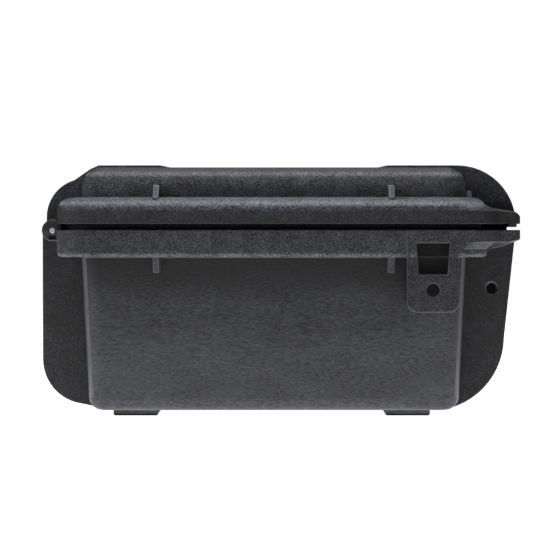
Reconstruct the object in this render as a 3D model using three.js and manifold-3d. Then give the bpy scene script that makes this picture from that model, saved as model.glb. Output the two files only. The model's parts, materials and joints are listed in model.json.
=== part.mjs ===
// Small waterproof hard case with a hinged lid, two press-and-pull latches and a folding handle.
// Millimetres. X runs along the hinge, the latches and the handle are on the -Y side, Z is up.
// The origin is on the surface that the feet stand on, under the middle of the overall outline.

import * as THREE from 'three';
import { mergeVertices } from 'three/addons/utils/BufferGeometryUtils.js';
import Module from 'manifold-3d';

const wasm = await Module();
wasm.setup();

// Moulded body: outline of the walls at the parting plane
const bodyLength = 247;
const bodyWidth = 194.8;
const wallThickness = 3;
const bodyCorner = 9;
const draftDegrees = 2.6;

// Heights
const footHeight = 4;
const baseDepth = 91;
const partingGap = 3;
const lidDepth = 28.5;
const padHeight = 1.5;

// Rims that meet at the parting plane
const baseRimHeight = 13.6;
const lidRimHeight = 13.2;
const endOverhang = 11.3;
const backOverhang = 11.5;
const frontOverhang = 9.6;
const rimCorner = 17;
const baseRimRound = 2.2;
const lidRimRound = 7;
const bottomRound = 6.5;
const lidRound = 8.5;
const lidInnerRound = 3;

// Sealing rib on the base, groove and gasket in the lid
const ribOffset = 3.2;
const ribWidth = 3;
const ribHeight = 5.3;
const grooveGap = 1.2;
const grooveDepth = 5.9;
const gasketHeight = 3;

// Clearances
const seatGap = 0.3;
const swingGap = 0.6;
const slideGap = 0.4;
const overrun = 2;

// Front fins, which guard the latches, and the pocket between each pair
const outerFinInset = 29.5;
const pocketWidth = 32;
const innerFinThickness = 3.5;
const outerFinThickness = 4;
const finTopReach = 26;
const finLowReach = 20.2;
const finBendZ = 40;
const finBendRadius = 37.4;
const lidFinReach = 26.1;
const lidFinRadius = 30;

// Hinge-side bumpers: plates on the base, narrower plates on the lid that pass between them
const bumperReach = 20.7;
const bumperRadius = 22.8;
const bumperBendZ = 28.8;
const bumperTopRound = 1.5;
const bumperToeDegrees = 262;
const lidBumperReach = 19.1;
const lidBumperRadius = 19.7;
const lidBumperBendRise = 3.6;
const lidBumperBendDegrees = 74;
const lidBumperSideGap = 1;
const lidBumperThickness = 3.5;
const lidBumperShoulder = 3.4;
const lidBumperShoulderDrop = 1.7;

// Hinge
const hingeReach = 13.9;
const hingeDrop = 0.25;
const knuckleRadius = 5.4;
const hingePinRadius = 1.5;
const knuckleWidth = 6;
const outerKnuckleInset = 12.4;
const innerKnuckleLength = 6.5;
const knuckleRelief = 1.9;
const notchWidth = 4;
const notchHeight = 2.3;
const notchDrop = 2.1;
const notchDepth = 1.6;
const knuckleWebFromDegrees = 100;
const knuckleWebToDegrees = 140;

// Raised pads on the lid and feet under the base
const padInset = 7.4;
const padLength = 39;
const padRamp = 7;
const footLength = 25;
const footWidth = 36;
const footSideInset = 1.5;
const frontFootInset = 30;
const backFootInset = 27.7;
const footTaper = 2.6;

// Padlock ledges at the front corners
const ledgeInset = 26;
const ledgeWidth = 17.5;
const ledgeReach = 27.1;
const ledgeCorner = 5;
const lidLedgeTip = 5.4;
const lidLedgeSide = 6.8;
const lidLedgeRoot = 8.9;
const lidLedgeSlopeStart = 11.2;
const lidLedgeBendInset = 3.2;
const baseLedgeTip = 4.7;
const baseLedgeSide = 6.1;
const baseLedgeBend = 7.9;
const baseLedgeRoot = 10.9;
const baseLedgeBendInset = 6;
const flareInset = 0.9;
const flareRound = 10;
const flareDegrees = 60;
const flareHollow = 8.5;
const flareDrop = 3.2;
const ledgeLip = 1.6;
const ledgeLipWidth = 4.4;
const ledgeLipInset = 2.1;
const padlockHoleRadius = 3.3;
const padlockHoleReach = 17.1;
const padlockHoleInset = 8.7;

// Lug on each end of the base, with a window and a hole
const lugInset = 18.4;
const lugWidth = 26;
const lugDrop = 40.9;
const lugThickness = 4;
const lugProud = 0.4;
const lugCorner = 5;
const lugWindowTop = 6.5;
const lugWindowHeight = 15.6;
const lugWindowTopWidth = 16.6;
const lugWindowLowWidth = 14.4;
const lugHoleDrop = 29.9;
const lugHoleRadius = 3.35;
const lugWallGap = 0.8;

// Gussets and the small boss on the lid
const gussetInset = 38.7;
const gussetThickness = 3;
const lidGussetHeight = 6;
const baseGussetHeight = 7.5;
const gussetOut = 8.5;
const gussetToe = 1.4;
const bossRadius = 1.3;
const bossHeight = 3.3;
const bossInset = 5.5;
const bossReach = 0.6;

// Latch: one-piece lever with a hook, pivoted low on the fins
const latchPivotReach = 13.8;
const latchPivotDrop = 29.5;
const latchPinRadius = 2;
const latchPinRecess = 2;
const pinHeadRadius = 3.15;
const latchBarrelRadius = 5.5;
const latchBarrelFromDegrees = 160;
const latchBarrelToDegrees = 350;
const leverInnerGap = 1.4;
const leverReach = 22;
const leverWaist = 1;
const leverCheek = 3;
const leverWeb = 2.6;
const hookGap = 0.4;
const hookThickness = 4.9;
const hookReachIn = 6.4;
const hookRound = 4;
const hookRoundFromDegrees = 20;
const hookNose = 1.4;
const strikeDepth = 12;
const backWebThickness = 1.8;
const backWebHeight = 11;
const backWebDrop = 7.2;

// Trigger: rocking push-button whose claw catches behind a lip under the base rim
const triggerPivotReach = 16;
const triggerPivotDrop = 10.5;
const triggerPinRadius = 1.25;
const triggerBarrelRadius = 2.9;
const buttonSideInset = 6.4;
const triggerProud = 0.3;
const buttonThickness = 4.4;
const buttonBottomRise = 4.1;
const buttonTopRise = 18.9;
const windowTopGap = 1.5;
const clawDrop = 8.9;
const clawThickness = 2.6;
const clawReach = 10.9;
const clawTipThickness = 1.1;
const clawTipRise = 1.9;
const clawBack = 0.4;
const keeperThickness = 1.3;
const keeperHeight = 2.5;
const keeperSetBack = 0.4;
const pocketRecess = 1;
const keeperSideInset = 4;

// Trigger spring
const springRadius = 2.6;
const springWire = 0.35;
const springTurnCount = 4;
const springRise = 13.4;
const springGrip = 0.3;

// Handle
const handlePivotReach = 6.1;
const handlePivotDrop = 19;
const handlePinRadius = 2;
const handleEarRadius = 4.6;
const handleArmWidth = 9;
const handleArmThickness = 9;
const handleLength = 36;
const gripHeight = 17;
const gripDepth = 15;
const gripRound = 5.5;
const gripOffset = 1;
const coreHeight = 9;
const coreDepth = 7;
const handleBendRadius = 9;
const fingerGrooveDepth = 0.9;
const fingerGrooveCount = 3;
const handlePinInset = 0.6;

// Pressure valve on the front wall, behind the folded handle
const valveDrop = 33;
const valveBossRadius = 11;
const valveBossOut = 0.7;
const valveBossIn = 1;
const valveFlangeRadius = 9;
const valveFlangeThickness = 2;
const valveStemRadius = 5.7;
const valveBoreRadius = 1.5;
const valveSealThickness = 0.8;
const valveNutRadius = 9.5;
const valveNutThickness = 4;
const membraneRadius = 5.2;
const membraneThickness = 0.6;
const valveCapRadius = 7.6;
const valveCapThickness = 2.8;
const valveCapWall = 1.4;
const valveSlotWidth = 1.2;

// Facet counts
const cornerSteps = 6;
const roundSteps = 4;
const pinSides = 16;
const holeSides = 20;
const arcSteps = 12;
const springSides = 5;
const springTurnSteps = 8;
const nutSides = 6;

// Worked-out places
const floorZ = footHeight;
const baseTopZ = floorZ + baseDepth;
const lidEdgeZ = baseTopZ + partingGap;
const lidTopZ = lidEdgeZ + lidDepth;
const padTopZ = lidTopZ + padHeight;
const baseRimBottomZ = baseTopZ - baseRimHeight;
const lidRimTopZ = lidEdgeZ + lidRimHeight;
const halfLength = bodyLength / 2;
const halfWidth = bodyWidth / 2;
const bodyCentreY = (ledgeReach - bumperReach) / 2;
const draft = Math.tan(THREE.MathUtils.degToRad(draftDegrees));
const floorReach = halfWidth - baseDepth * draft - bottomRound;
const rootReach = floorReach - wallThickness;
const rimFront = halfWidth + frontOverhang;
const rimBack = -halfWidth - backOverhang;
const rimEndX = halfLength + endOverhang;
const hinge = [-halfWidth - hingeReach, baseTopZ - hingeDrop];
const latchPivot = [halfWidth + latchPivotReach, baseTopZ - latchPivotDrop];
const triggerPivot = [halfWidth + triggerPivotReach, baseTopZ - triggerPivotDrop];
const handlePivot = [halfWidth + handlePivotReach, baseTopZ - handlePivotDrop];
const pocketX1 = halfLength - outerFinInset;
const pocketX0 = pocketX1 - pocketWidth;
const pocketMiddleX = (pocketX0 + pocketX1) / 2;
const finInnerX = pocketX0 - innerFinThickness;
const outerFinOutX = pocketX1 + outerFinThickness;
const ledgeX = halfLength - ledgeInset;
const padEdgeReach = halfWidth - padInset;
const lugReach = halfWidth - lugInset;
const gussetReach = halfWidth - gussetInset;
const lidBumperX0 = pocketX0 + lidBumperSideGap;
const lidBumperX1 = pocketX1 - lidBumperSideGap;
const leverX0 = pocketX0 + swingGap + slideGap;
const leverX1 = pocketX1 - swingGap - slideGap;
const leverFace = halfWidth + leverReach;
const leverInner = rimFront + leverInnerGap;
const strikeTopZ = lidRimTopZ;
const valveZ = baseTopZ - valveDrop;

// Reach is the distance from the middle of the body towards the latches, so it is negative at the hinge.
const yAt = (reach) => bodyCentreY - reach;

// Solids

function solidOf(geometry) {
  const bare = new THREE.BufferGeometry();
  bare.setAttribute('position', geometry.getAttribute('position').clone());
  if (geometry.index) bare.setIndex(geometry.index.clone());
  const merged = mergeVertices(bare);
  return new wasm.Manifold(new wasm.Mesh({
    numProp: 3,
    vertProperties: new Float32Array(merged.getAttribute('position').array),
    triVerts: new Uint32Array(merged.index.array),
  }));
}

function geometryOf(solid) {
  const mesh = solid.getMesh();
  const geometry = new THREE.BufferGeometry();
  geometry.setAttribute('position', new THREE.BufferAttribute(mesh.vertProperties, 3));
  geometry.setIndex(new THREE.BufferAttribute(mesh.triVerts, 1));
  return geometry;
}

const join = (first, ...others) => others.reduce((whole, piece) => whole.add(piece), first);
const cut = (first, ...others) => others.reduce((whole, piece) => whole.subtract(piece), first);

function extrude(points, depth) {
  const shape = new THREE.Shape(points.map(([a, b]) => new THREE.Vector2(a, b)));
  return new THREE.ExtrudeGeometry(shape, { depth, bevelEnabled: false });
}

const axisX = new THREE.Vector3(1, 0, 0);
const axisY = new THREE.Vector3(0, 1, 0);
const axisZ = new THREE.Vector3(0, 0, 1);

// An outline of [reach, z] points, carried along X between two places.
function alongX(outline, xa, xb) {
  const geometry = extrude(outline.map(([reach, z]) => [yAt(reach), z]), Math.abs(xb - xa));
  geometry.applyMatrix4(new THREE.Matrix4().makeBasis(axisY, axisZ, axisX));
  return solidOf(geometry.translate(Math.min(xa, xb), 0, 0));
}

// An outline of [x, z] points, carried along Y between two reaches.
function alongReach(outline, from, to) {
  const geometry = extrude(outline, Math.abs(to - from));
  geometry.applyMatrix4(new THREE.Matrix4().makeBasis(axisX, axisZ, axisY.clone().negate()));
  return solidOf(geometry.translate(0, yAt(Math.min(from, to)), 0));
}

// An outline of [x, reach] points, carried up between two heights.
function alongZ(outline, za, zb) {
  const geometry = extrude(outline.map(([x, reach]) => [x, yAt(reach)]), Math.abs(zb - za));
  return solidOf(geometry.translate(0, 0, Math.min(za, zb)));
}

const rectangle = (a0, a1, b0, b1) => [[a0, b0], [a1, b0], [a1, b1], [a0, b1]];

function block(x0, x1, reach0, reach1, z0, z1) {
  return alongX(rectangle(reach0, reach1, z0, z1), x0, x1);
}

function arc([a, b], radius, fromDegrees, toDegrees, steps = arcSteps) {
  return Array.from({ length: steps + 1 }, (_, i) => {
    const angle = THREE.MathUtils.degToRad(fromDegrees + ((toDegrees - fromDegrees) * i) / steps);
    return [a + radius * Math.cos(angle), b + radius * Math.sin(angle)];
  });
}

function circle(centre, radius, sides = holeSides) {
  return arc(centre, radius, 0, 360, sides).slice(0, -1);
}

const rodX = (centre, radius, x0, x1, sides) => alongX(circle(centre, radius, sides), x0, x1);
const rodZ = (x, reach, radius, z0, z1, sides) => alongZ(circle([x, reach], radius, sides), z0, z1);

// A rectangle with its corners rounded, as [a, b] points.
function roundedOutline(a0, a1, b0, b1, radius, steps = roundSteps) {
  return [
    ...arc([a1 - radius, b1 - radius], radius, 0, 90, steps),
    ...arc([a0 + radius, b1 - radius], radius, 90, 180, steps),
    ...arc([a0 + radius, b0 + radius], radius, 180, 270, steps),
    ...arc([a1 - radius, b0 + radius], radius, 270, 360, steps),
  ];
}

// One level of a lofted form: a rounded rectangle in plan.
function planRing({ halfX, back, front, corner }, z) {
  return roundedOutline(-halfX, halfX, yAt(front), yAt(back), corner, cornerSteps)
    .map(([x, y]) => new THREE.Vector3(x, y, z));
}

// A closed skin over rings that run upwards and have equal numbers of points.
function loft(rings) {
  const upwards = rings[0][0].z < rings[rings.length - 1][0].z ? rings : [...rings].reverse();
  const count = upwards[0].length;
  const points = upwards.flat();
  const middle = (ring) => ring.reduce((sum, p) => sum.add(p), new THREE.Vector3()).divideScalar(count);
  const low = points.push(middle(upwards[0])) - 1;
  const high = points.push(middle(upwards[upwards.length - 1])) - 1;
  const faces = [];
  for (let i = 0; i < count; i += 1) {
    const next = (i + 1) % count;
    for (let level = 0; level < upwards.length - 1; level += 1) {
      const a = level * count;
      const b = a + count;
      faces.push(a + i, a + next, b + next, a + i, b + next, b + i);
    }
    const top = (upwards.length - 1) * count;
    faces.push(low, next, i, high, top + i, top + next);
  }
  const geometry = new THREE.BufferGeometry().setFromPoints(points);
  geometry.setIndex(faces);
  return solidOf(geometry);
}

// The drafted tub of the base or the lid: its edge at the parting plane, its floor filleted.
function tub(edgeZ, direction, depth, inset, corner, fillet, pastEdge) {
  const level = (height, extra) => planRing({
    halfX: halfLength - inset - height * draft - extra,
    back: -halfWidth + inset + height * draft + extra,
    front: halfWidth - inset - height * draft - extra,
    corner: corner - extra,
  }, edgeZ + direction * height);
  const rings = [level(-pastEdge, 0)];
  for (let i = 0; i <= roundSteps; i += 1) {
    const angle = (Math.PI / 2) * (i / roundSteps);
    rings.push(level(depth - fillet * (1 - Math.sin(angle)), fillet * (1 - Math.cos(angle))));
  }
  return loft(rings);
}

// A rim plan grown from the walls by one amount all round.
const grownPlan = (grow, corner) => ({
  halfX: halfLength + grow, back: -halfWidth - grow, front: halfWidth + grow, corner,
});

const ringBetween = (outer, inner, outerCorner, innerCorner, z0, z1, past) => cut(
  loft([planRing(grownPlan(outer, outerCorner), z0), planRing(grownPlan(outer, outerCorner), z1)]),
  loft([
    planRing(grownPlan(inner, innerCorner), z0 - past),
    planRing(grownPlan(inner, innerCorner), z1 + past),
  ]),
);

// The rim of the base or the lid. Its rounded edge is at roundZ, its square edge at squareZ.
function rim(squareZ, roundZ, round) {
  const direction = Math.sign(roundZ - squareZ);
  const level = (z, extra) => planRing({
    halfX: rimEndX - extra, back: rimBack + extra, front: rimFront - extra, corner: rimCorner - extra,
  }, z);
  const rings = [level(squareZ, 0)];
  for (let i = 0; i <= roundSteps; i += 1) {
    const angle = (Math.PI / 2) * (i / roundSteps);
    rings.push(level(roundZ - direction * round * (1 - Math.sin(angle)), round * (1 - Math.cos(angle))));
  }
  return loft(rings);
}

const sides = [-1, 1];
const sideName = (side) => (side < 0 ? 'left' : 'right');

// Front fins and hinge-side bumpers

function baseFin() {
  const centre = [halfWidth + finLowReach - finBendRadius, finBendZ];
  const floorAngle = THREE.MathUtils.radToDeg(Math.asin((finBendZ - floorZ) / finBendRadius));
  return [
    [rootReach, baseTopZ],
    [halfWidth + finTopReach, baseTopZ],
    ...arc(centre, finBendRadius, 0, -floorAngle),
    [rootReach, floorZ],
  ];
}

function lidFin() {
  const centre = [halfWidth + lidFinReach - lidFinRadius, lidEdgeZ];
  return [[rootReach, lidEdgeZ], ...arc(centre, lidFinRadius, 0, 90), [rootReach, lidEdgeZ + lidFinRadius]];
}

function baseBumper() {
  const outer = -halfWidth - bumperReach;
  return [
    [-rootReach, baseTopZ],
    ...arc([outer + bumperTopRound, baseTopZ - bumperTopRound], bumperTopRound, 90, 180, roundSteps),
    ...arc([outer + bumperRadius, bumperBendZ], bumperRadius, 180, bumperToeDegrees),
    [-floorReach, floorZ],
    [-rootReach, floorZ],
  ];
}

function lidBumper() {
  const outer = -halfWidth - lidBumperReach;
  const centre = [outer + lidBumperRadius, lidEdgeZ + lidBumperBendRise];
  const shoulder = -halfWidth + lidBumperShoulder;
  return [
    [-rootReach, lidEdgeZ],
    [outer, lidEdgeZ],
    ...arc(centre, lidBumperRadius, 180, 180 - lidBumperBendDegrees),
    [shoulder, padTopZ - lidBumperShoulderDrop],
    [-padEdgeReach, padTopZ],
    [-rootReach, padTopZ],
  ];
}

// Knuckles: a barrel with a web into its rim

function baseKnuckle(x0, x1) {
  const web = rectangle(hinge[0], rimBack + knuckleRelief, hinge[1] - knuckleRadius, hinge[1]);
  return join(rodX(hinge, knuckleRadius, x0, x1, holeSides), alongX(web, x0, x1));
}

function lidKnuckle(x0, x1) {
  const web = [
    [hinge[0], hinge[1]],
    [hinge[0], lidEdgeZ],
    [rimBack + knuckleRelief, lidEdgeZ],
    [rimBack + knuckleRelief, lidEdgeZ + knuckleRadius],
    ...arc(hinge, knuckleRadius, knuckleWebFromDegrees, knuckleWebToDegrees, roundSteps),
  ];
  return join(rodX(hinge, knuckleRadius, x0, x1, holeSides), alongX(web, x0, x1));
}

const knucklePitch = knuckleWidth + seatGap;
const hingeOuterX = halfLength - outerKnuckleInset + knuckleWidth;
const hingeInnerX = finInnerX - innerKnuckleLength - 2 * knucklePitch;
const baseKnuckleSpans = [
  [hingeOuterX - knuckleWidth, hingeOuterX],
  [pocketX1, hingeOuterX - 2 * knucklePitch],
  [hingeInnerX + 2 * knucklePitch - seatGap, pocketX0],
  [hingeInnerX, hingeInnerX + knuckleWidth],
];
const lidKnuckleSpans = [
  [hingeOuterX - 2 * knucklePitch + seatGap, hingeOuterX - knucklePitch],
  [hingeInnerX + knucklePitch, hingeInnerX + 2 * knucklePitch - 2 * seatGap],
];

const knuckleRoom = (side, [x0, x1]) => rodX(
  hinge, knuckleRadius + swingGap, side * (x0 - seatGap), side * (x1 + seatGap), holeSides,
);

// The blind notch under the pin, in the end face of the outermost knuckle of the base.
const knuckleNotch = (side) => block(
  side * (hingeOuterX - notchDepth), side * (hingeOuterX + overrun),
  hinge[0] - notchWidth / 2, hinge[0] + notchWidth / 2,
  hinge[1] - notchDrop - notchHeight, hinge[1] - notchDrop,
);

const hingeBore = (side) => rodX(
  hinge, hingePinRadius + seatGap, side * (hingeInnerX - overrun), side * (hingeOuterX + overrun), pinSides,
);

// Padlock ledges: each flares out of the end of its rim and is thicker on its inner side

const ledgeSideX = ledgeX + ledgeWidth;
const ledgeTip = halfWidth + ledgeReach;
const flareBend = THREE.MathUtils.degToRad(flareDegrees);
const flareOut = arc([rimEndX - flareRound, halfWidth - flareInset], flareRound, 0, flareDegrees, roundSteps);
const [flareX, flareReach] = flareOut[roundSteps];
const hollowX = ledgeSideX + flareHollow * (1 - Math.cos(flareBend));
const hollowReach = flareReach + (flareX - hollowX) / Math.tan(flareBend);
const ledgePlan = [
  [ledgeX, rootReach],
  [rimEndX, rootReach],
  ...flareOut,
  ...arc(
    [ledgeSideX + flareHollow, hollowReach + flareHollow * Math.sin(flareBend)],
    flareHollow, 180 + flareDegrees, 180, roundSteps,
  ),
  ...arc([ledgeSideX - ledgeCorner, ledgeTip - ledgeCorner], ledgeCorner, 0, 90, roundSteps),
  [ledgeX, ledgeTip],
];
const ledgeShape = (side, z0, z1) => alongZ(ledgePlan.map(([x, reach]) => [side * x, reach]), z0, z1);

// A plate between two [reach, z] outlines, carried on from the second to the rim's end.
function ledgePlate(side, innerOutline, sideOutline) {
  const points = (outline, x) => outline.map(([reach, z]) => [side * x, yAt(reach), z]);
  return join(
    wasm.Manifold.hull([...points(innerOutline, ledgeX), ...points(sideOutline, ledgeSideX)]),
    alongX(sideOutline, side * ledgeSideX, side * rimEndX),
  );
}

// The sloping web between the flare and the round corner of the rim.
function flareWeb(side, plateZ0, plateZ1, cornerZ, cornerInset) {
  const plan = [
    [ledgeSideX, rootReach],
    [rimEndX, rootReach],
    ...flareOut,
    [hollowX, hollowReach],
    [ledgeSideX, hollowReach],
  ];
  const corner = arc(
    [rimEndX - rimCorner, rimFront - rimCorner], rimCorner - cornerInset, 0, 90, cornerSteps,
  );
  const points = (outline, z) => outline.map(([x, reach]) => [side * x, yAt(reach), z]);
  return wasm.Manifold.hull([...points(plan, plateZ0), ...points(plan, plateZ1), ...points(corner, cornerZ)]);
}

function lidLedge(side) {
  const lipEnd = ledgeTip - ledgeLipInset;
  const tip = [
    [rootReach, lidEdgeZ],
    [ledgeTip, lidEdgeZ],
    [ledgeTip, lidEdgeZ + lidLedgeTip - ledgeLip],
    [ledgeTip - ledgeLip, lidEdgeZ + lidLedgeTip],
    [ledgeTip - lidLedgeBendInset, lidEdgeZ + lidLedgeTip + ledgeLip / 2],
  ];
  const shoulderZ = lidRimTopZ - lidRimRound / 2;
  const inner = [...tip, [halfWidth + lidLedgeSlopeStart, lidEdgeZ + lidLedgeRoot], [rootReach, shoulderZ]];
  const outer = [...tip, [hollowReach, lidEdgeZ + lidLedgeSide], [rootReach, lidEdgeZ + lidLedgeSide]];
  const lip = block(
    side * ledgeX, side * ledgeSideX, lipEnd - ledgeLipWidth, lipEnd, lidEdgeZ - ledgeLip, lidEdgeZ,
  );
  return join(
    join(ledgePlate(side, inner, outer), lip).intersect(ledgeShape(side, lidEdgeZ - ledgeLip, lidRimTopZ)),
    flareWeb(side, lidEdgeZ, lidEdgeZ + lidLedgeSide, shoulderZ, lidRimRound * (1 - Math.sqrt(3) / 2)),
  );
}

function baseLedge(side) {
  const tip = [
    [rootReach, baseTopZ],
    [ledgeTip, baseTopZ],
    [ledgeTip, baseTopZ - baseLedgeTip],
  ];
  const bend = ledgeTip - baseLedgeBendInset;
  const inner = [
    ...tip,
    [bend, baseTopZ - baseLedgeBend],
    [rimFront, baseTopZ - baseLedgeRoot],
    [rootReach, baseTopZ - baseLedgeRoot],
  ];
  const outer = [...tip, [bend, baseTopZ - baseLedgeSide], [rootReach, baseTopZ - baseLedgeSide]];
  return join(
    ledgePlate(side, inner, outer).intersect(ledgeShape(side, baseRimBottomZ, baseTopZ)),
    flareWeb(side, baseTopZ - baseLedgeSide, baseTopZ, baseTopZ - baseLedgeSide - flareDrop, 0),
  );
}

const padlockHole = (side) => rodZ(
  side * (ledgeX + padlockHoleInset), halfWidth + padlockHoleReach, padlockHoleRadius,
  baseRimBottomZ - overrun, lidRimTopZ + overrun, holeSides,
);

// Lugs on the ends

function lugOutline() {
  const half = lugWidth / 2;
  const low = baseTopZ - lugDrop;
  return [
    [lugReach + half, baseTopZ - seatGap],
    [lugReach - half, baseTopZ - seatGap],
    ...arc([lugReach - half + lugCorner, low + lugCorner], lugCorner, 180, 270, roundSteps),
    ...arc([lugReach + half - lugCorner, low + lugCorner], lugCorner, 270, 360, roundSteps),
  ];
}

function lugWindow() {
  const top = baseTopZ - lugWindowTop;
  return [
    [lugReach - lugWindowTopWidth / 2, top],
    [lugReach - lugWindowLowWidth / 2, top - lugWindowHeight],
    [lugReach + lugWindowLowWidth / 2, top - lugWindowHeight],
    [lugReach + lugWindowTopWidth / 2, top],
  ];
}

const lugFaceX = rimEndX + lugProud;
const lug = (side) => alongX(lugOutline(), side * (rimEndX - lugThickness), side * lugFaceX);

function lugOpenings(side) {
  const from = side * (halfLength + lugWallGap);
  const to = side * (lugFaceX + overrun);
  return join(
    alongX(lugWindow(), from, to),
    rodX([lugReach, baseTopZ - lugHoleDrop], lugHoleRadius, from, to, holeSides),
  );
}

// Gussets between the end walls and the rims

function gussets(rimZ, height) {
  const low = rimZ - Math.sign(height) * overrun;
  return sides.flatMap((side) => sides.map((end) => {
    const outline = [
      [side * (halfLength - wallThickness), low],
      [side * (halfLength + gussetOut), low],
      [side * (halfLength + gussetOut), rimZ],
      [side * (halfLength + gussetToe), rimZ + height],
      [side * (halfLength - wallThickness), rimZ + height],
    ];
    const reach = end * gussetReach;
    return alongReach(outline, reach - gussetThickness / 2, reach + gussetThickness / 2);
  }));
}

// Pads on the lid and feet under the base

function lidPads(side) {
  const x0 = side * finInnerX;
  const x1 = side * outerFinOutX;
  const bottom = lidTopZ - wallThickness / 2;
  const pad = (from, to) => alongX([
    [from, bottom],
    [to, bottom],
    [to, padTopZ],
    [from + Math.sign(to - from) * padRamp, padTopZ],
    [from, lidTopZ],
  ], x0, x1);
  return join(pad(padEdgeReach - padLength, padEdgeReach), pad(padLength - padEdgeReach, -padEdgeReach));
}

function feet(side) {
  const footX = finInnerX + footSideInset;
  const foot = (reach, out) => alongX([
    [reach - (out * footLength) / 2, floorZ + wallThickness / 2],
    [reach - (out * footLength) / 2, floorZ],
    [reach - out * (footLength / 2 - footTaper), 0],
    [reach + out * (footLength / 2 - footTaper / 4), 0],
    [reach + (out * footLength) / 2, footTaper / 4],
    [reach + (out * footLength) / 2, floorZ + wallThickness / 2],
  ], side * footX, side * (footX + footWidth));
  return join(foot(halfWidth - frontFootInset, 1), foot(backFootInset - halfWidth, -1));
}

// Base shell

const fins = (side, outline) => join(
  alongX(outline, side * pocketX1, side * outerFinOutX),
  alongX(outline, side * finInnerX, side * pocketX0),
);

function keeper(side) {
  const x0 = side * (pocketX0 + keeperSideInset);
  const x1 = side * (pocketX1 - keeperSideInset);
  const face = rimFront - pocketRecess - keeperSetBack;
  return block(x0, x1, face - keeperThickness, face, baseRimBottomZ - keeperHeight, baseRimBottomZ + overrun);
}

function frontBores(side) {
  const inside = side * (finInnerX - overrun);
  const outside = side * (outerFinOutX + overrun);
  return join(
    rodX(latchPivot, latchPinRadius + seatGap, inside, outside, pinSides),
    rodX(latchPivot, pinHeadRadius, side * (outerFinOutX - latchPinRecess), outside, pinSides),
    rodX(handlePivot, handlePinRadius + seatGap, inside, side * (pocketX0 + overrun), pinSides),
  );
}

function valveRing(radius, from, to, sidesOfRing = holeSides) {
  return alongReach(circle([0, valveZ], radius, sidesOfRing), from, to);
}

const wallAtValve = halfWidth - valveDrop * draft;
const valveOutside = wallAtValve + valveBossOut;
const valveInside = wallAtValve - wallThickness - valveBossIn;

function baseShell() {
  const outside = join(
    tub(baseTopZ, -1, baseDepth, 0, bodyCorner, bottomRound, 0),
    rim(baseTopZ, baseRimBottomZ, baseRimRound),
    valveRing(valveBossRadius, wallAtValve - wallThickness, valveOutside),
    ...gussets(baseRimBottomZ, -baseGussetHeight),
    ...sides.flatMap((side) => [
      fins(side, baseFin()),
      fins(side, baseBumper()),
      baseLedge(side),
      lug(side),
      feet(side),
      ...baseKnuckleSpans.map(([x0, x1]) => baseKnuckle(side * x0, side * x1)),
    ]),
  );
  const pocketCuts = sides.map((side) => block(
    side * pocketX0, side * pocketX1, rimFront - pocketRecess, rimFront + overrun,
    baseRimBottomZ - overrun, baseTopZ + overrun,
  ));
  const hollow = cut(
    outside,
    ...pocketCuts,
    tub(
      baseTopZ, -1, baseDepth - wallThickness,
      wallThickness, bodyCorner - wallThickness, bottomRound - wallThickness, overrun,
    ),
    ...sides.flatMap((side) => [
      lugOpenings(side),
      padlockHole(side),
      frontBores(side),
      ...lidKnuckleSpans.map((span) => knuckleRoom(side, span)),
      hingeBore(side),
      knuckleNotch(side),
    ]),
  );
  const rib = ringBetween(
    ribOffset + ribWidth, ribOffset, bodyCorner + ribOffset + ribWidth, bodyCorner + ribOffset,
    baseTopZ - overrun, baseTopZ + ribHeight, overrun,
  );
  const whole = join(
    hollow,
    rib,
    valveRing(valveBossRadius, valveInside, wallAtValve - wallThickness / 2),
    ...sides.map((side) => keeper(side)),
  );
  return cut(whole, valveRing(valveStemRadius + seatGap, valveInside - overrun, valveOutside + overrun));
}

// Lid shell

function lidShell() {
  const outside = join(
    tub(lidEdgeZ, 1, lidDepth, 0, bodyCorner, lidRound, 0),
    rim(lidEdgeZ, lidRimTopZ, lidRimRound),
    ...gussets(lidRimTopZ, lidGussetHeight),
    ...sides.flatMap((side) => [
      fins(side, lidFin()),
      alongX(lidBumper(), side * lidBumperX0, side * (lidBumperX0 + lidBumperThickness)),
      alongX(lidBumper(), side * (lidBumperX1 - lidBumperThickness), side * lidBumperX1),
      lidPads(side),
      lidLedge(side),
      block(side * pocketX0, side * pocketX1, rimFront - strikeDepth, rimFront, lidEdgeZ, strikeTopZ),
      rodZ(
        side * (halfLength - bossInset), halfWidth + bossReach, bossRadius,
        lidRimTopZ - overrun, lidRimTopZ + bossHeight, pinSides,
      ),
      ...lidKnuckleSpans.map(([x0, x1]) => lidKnuckle(side * x0, side * x1)),
    ]),
  );
  const groove = ringBetween(
    ribOffset + ribWidth + grooveGap, ribOffset - grooveGap,
    bodyCorner + ribOffset + ribWidth + grooveGap, bodyCorner + ribOffset - grooveGap,
    lidEdgeZ - overrun, lidEdgeZ + grooveDepth, overrun,
  );
  return cut(
    outside,
    tub(
      lidEdgeZ, 1, lidDepth - wallThickness,
      wallThickness, bodyCorner - wallThickness, lidInnerRound, overrun,
    ),
    groove,
    ...sides.flatMap((side) => [
      padlockHole(side),
      ...baseKnuckleSpans.map((span) => knuckleRoom(side, span)),
      hingeBore(side),
    ]),
  );
}

function gasket() {
  const top = lidEdgeZ + grooveDepth - seatGap;
  const outer = ribOffset + ribWidth + grooveGap - seatGap;
  const inner = ribOffset - grooveGap + seatGap;
  return ringBetween(outer, inner, bodyCorner + outer, bodyCorner + inner, top - gasketHeight, top, overrun);
}

// Latch lever

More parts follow.
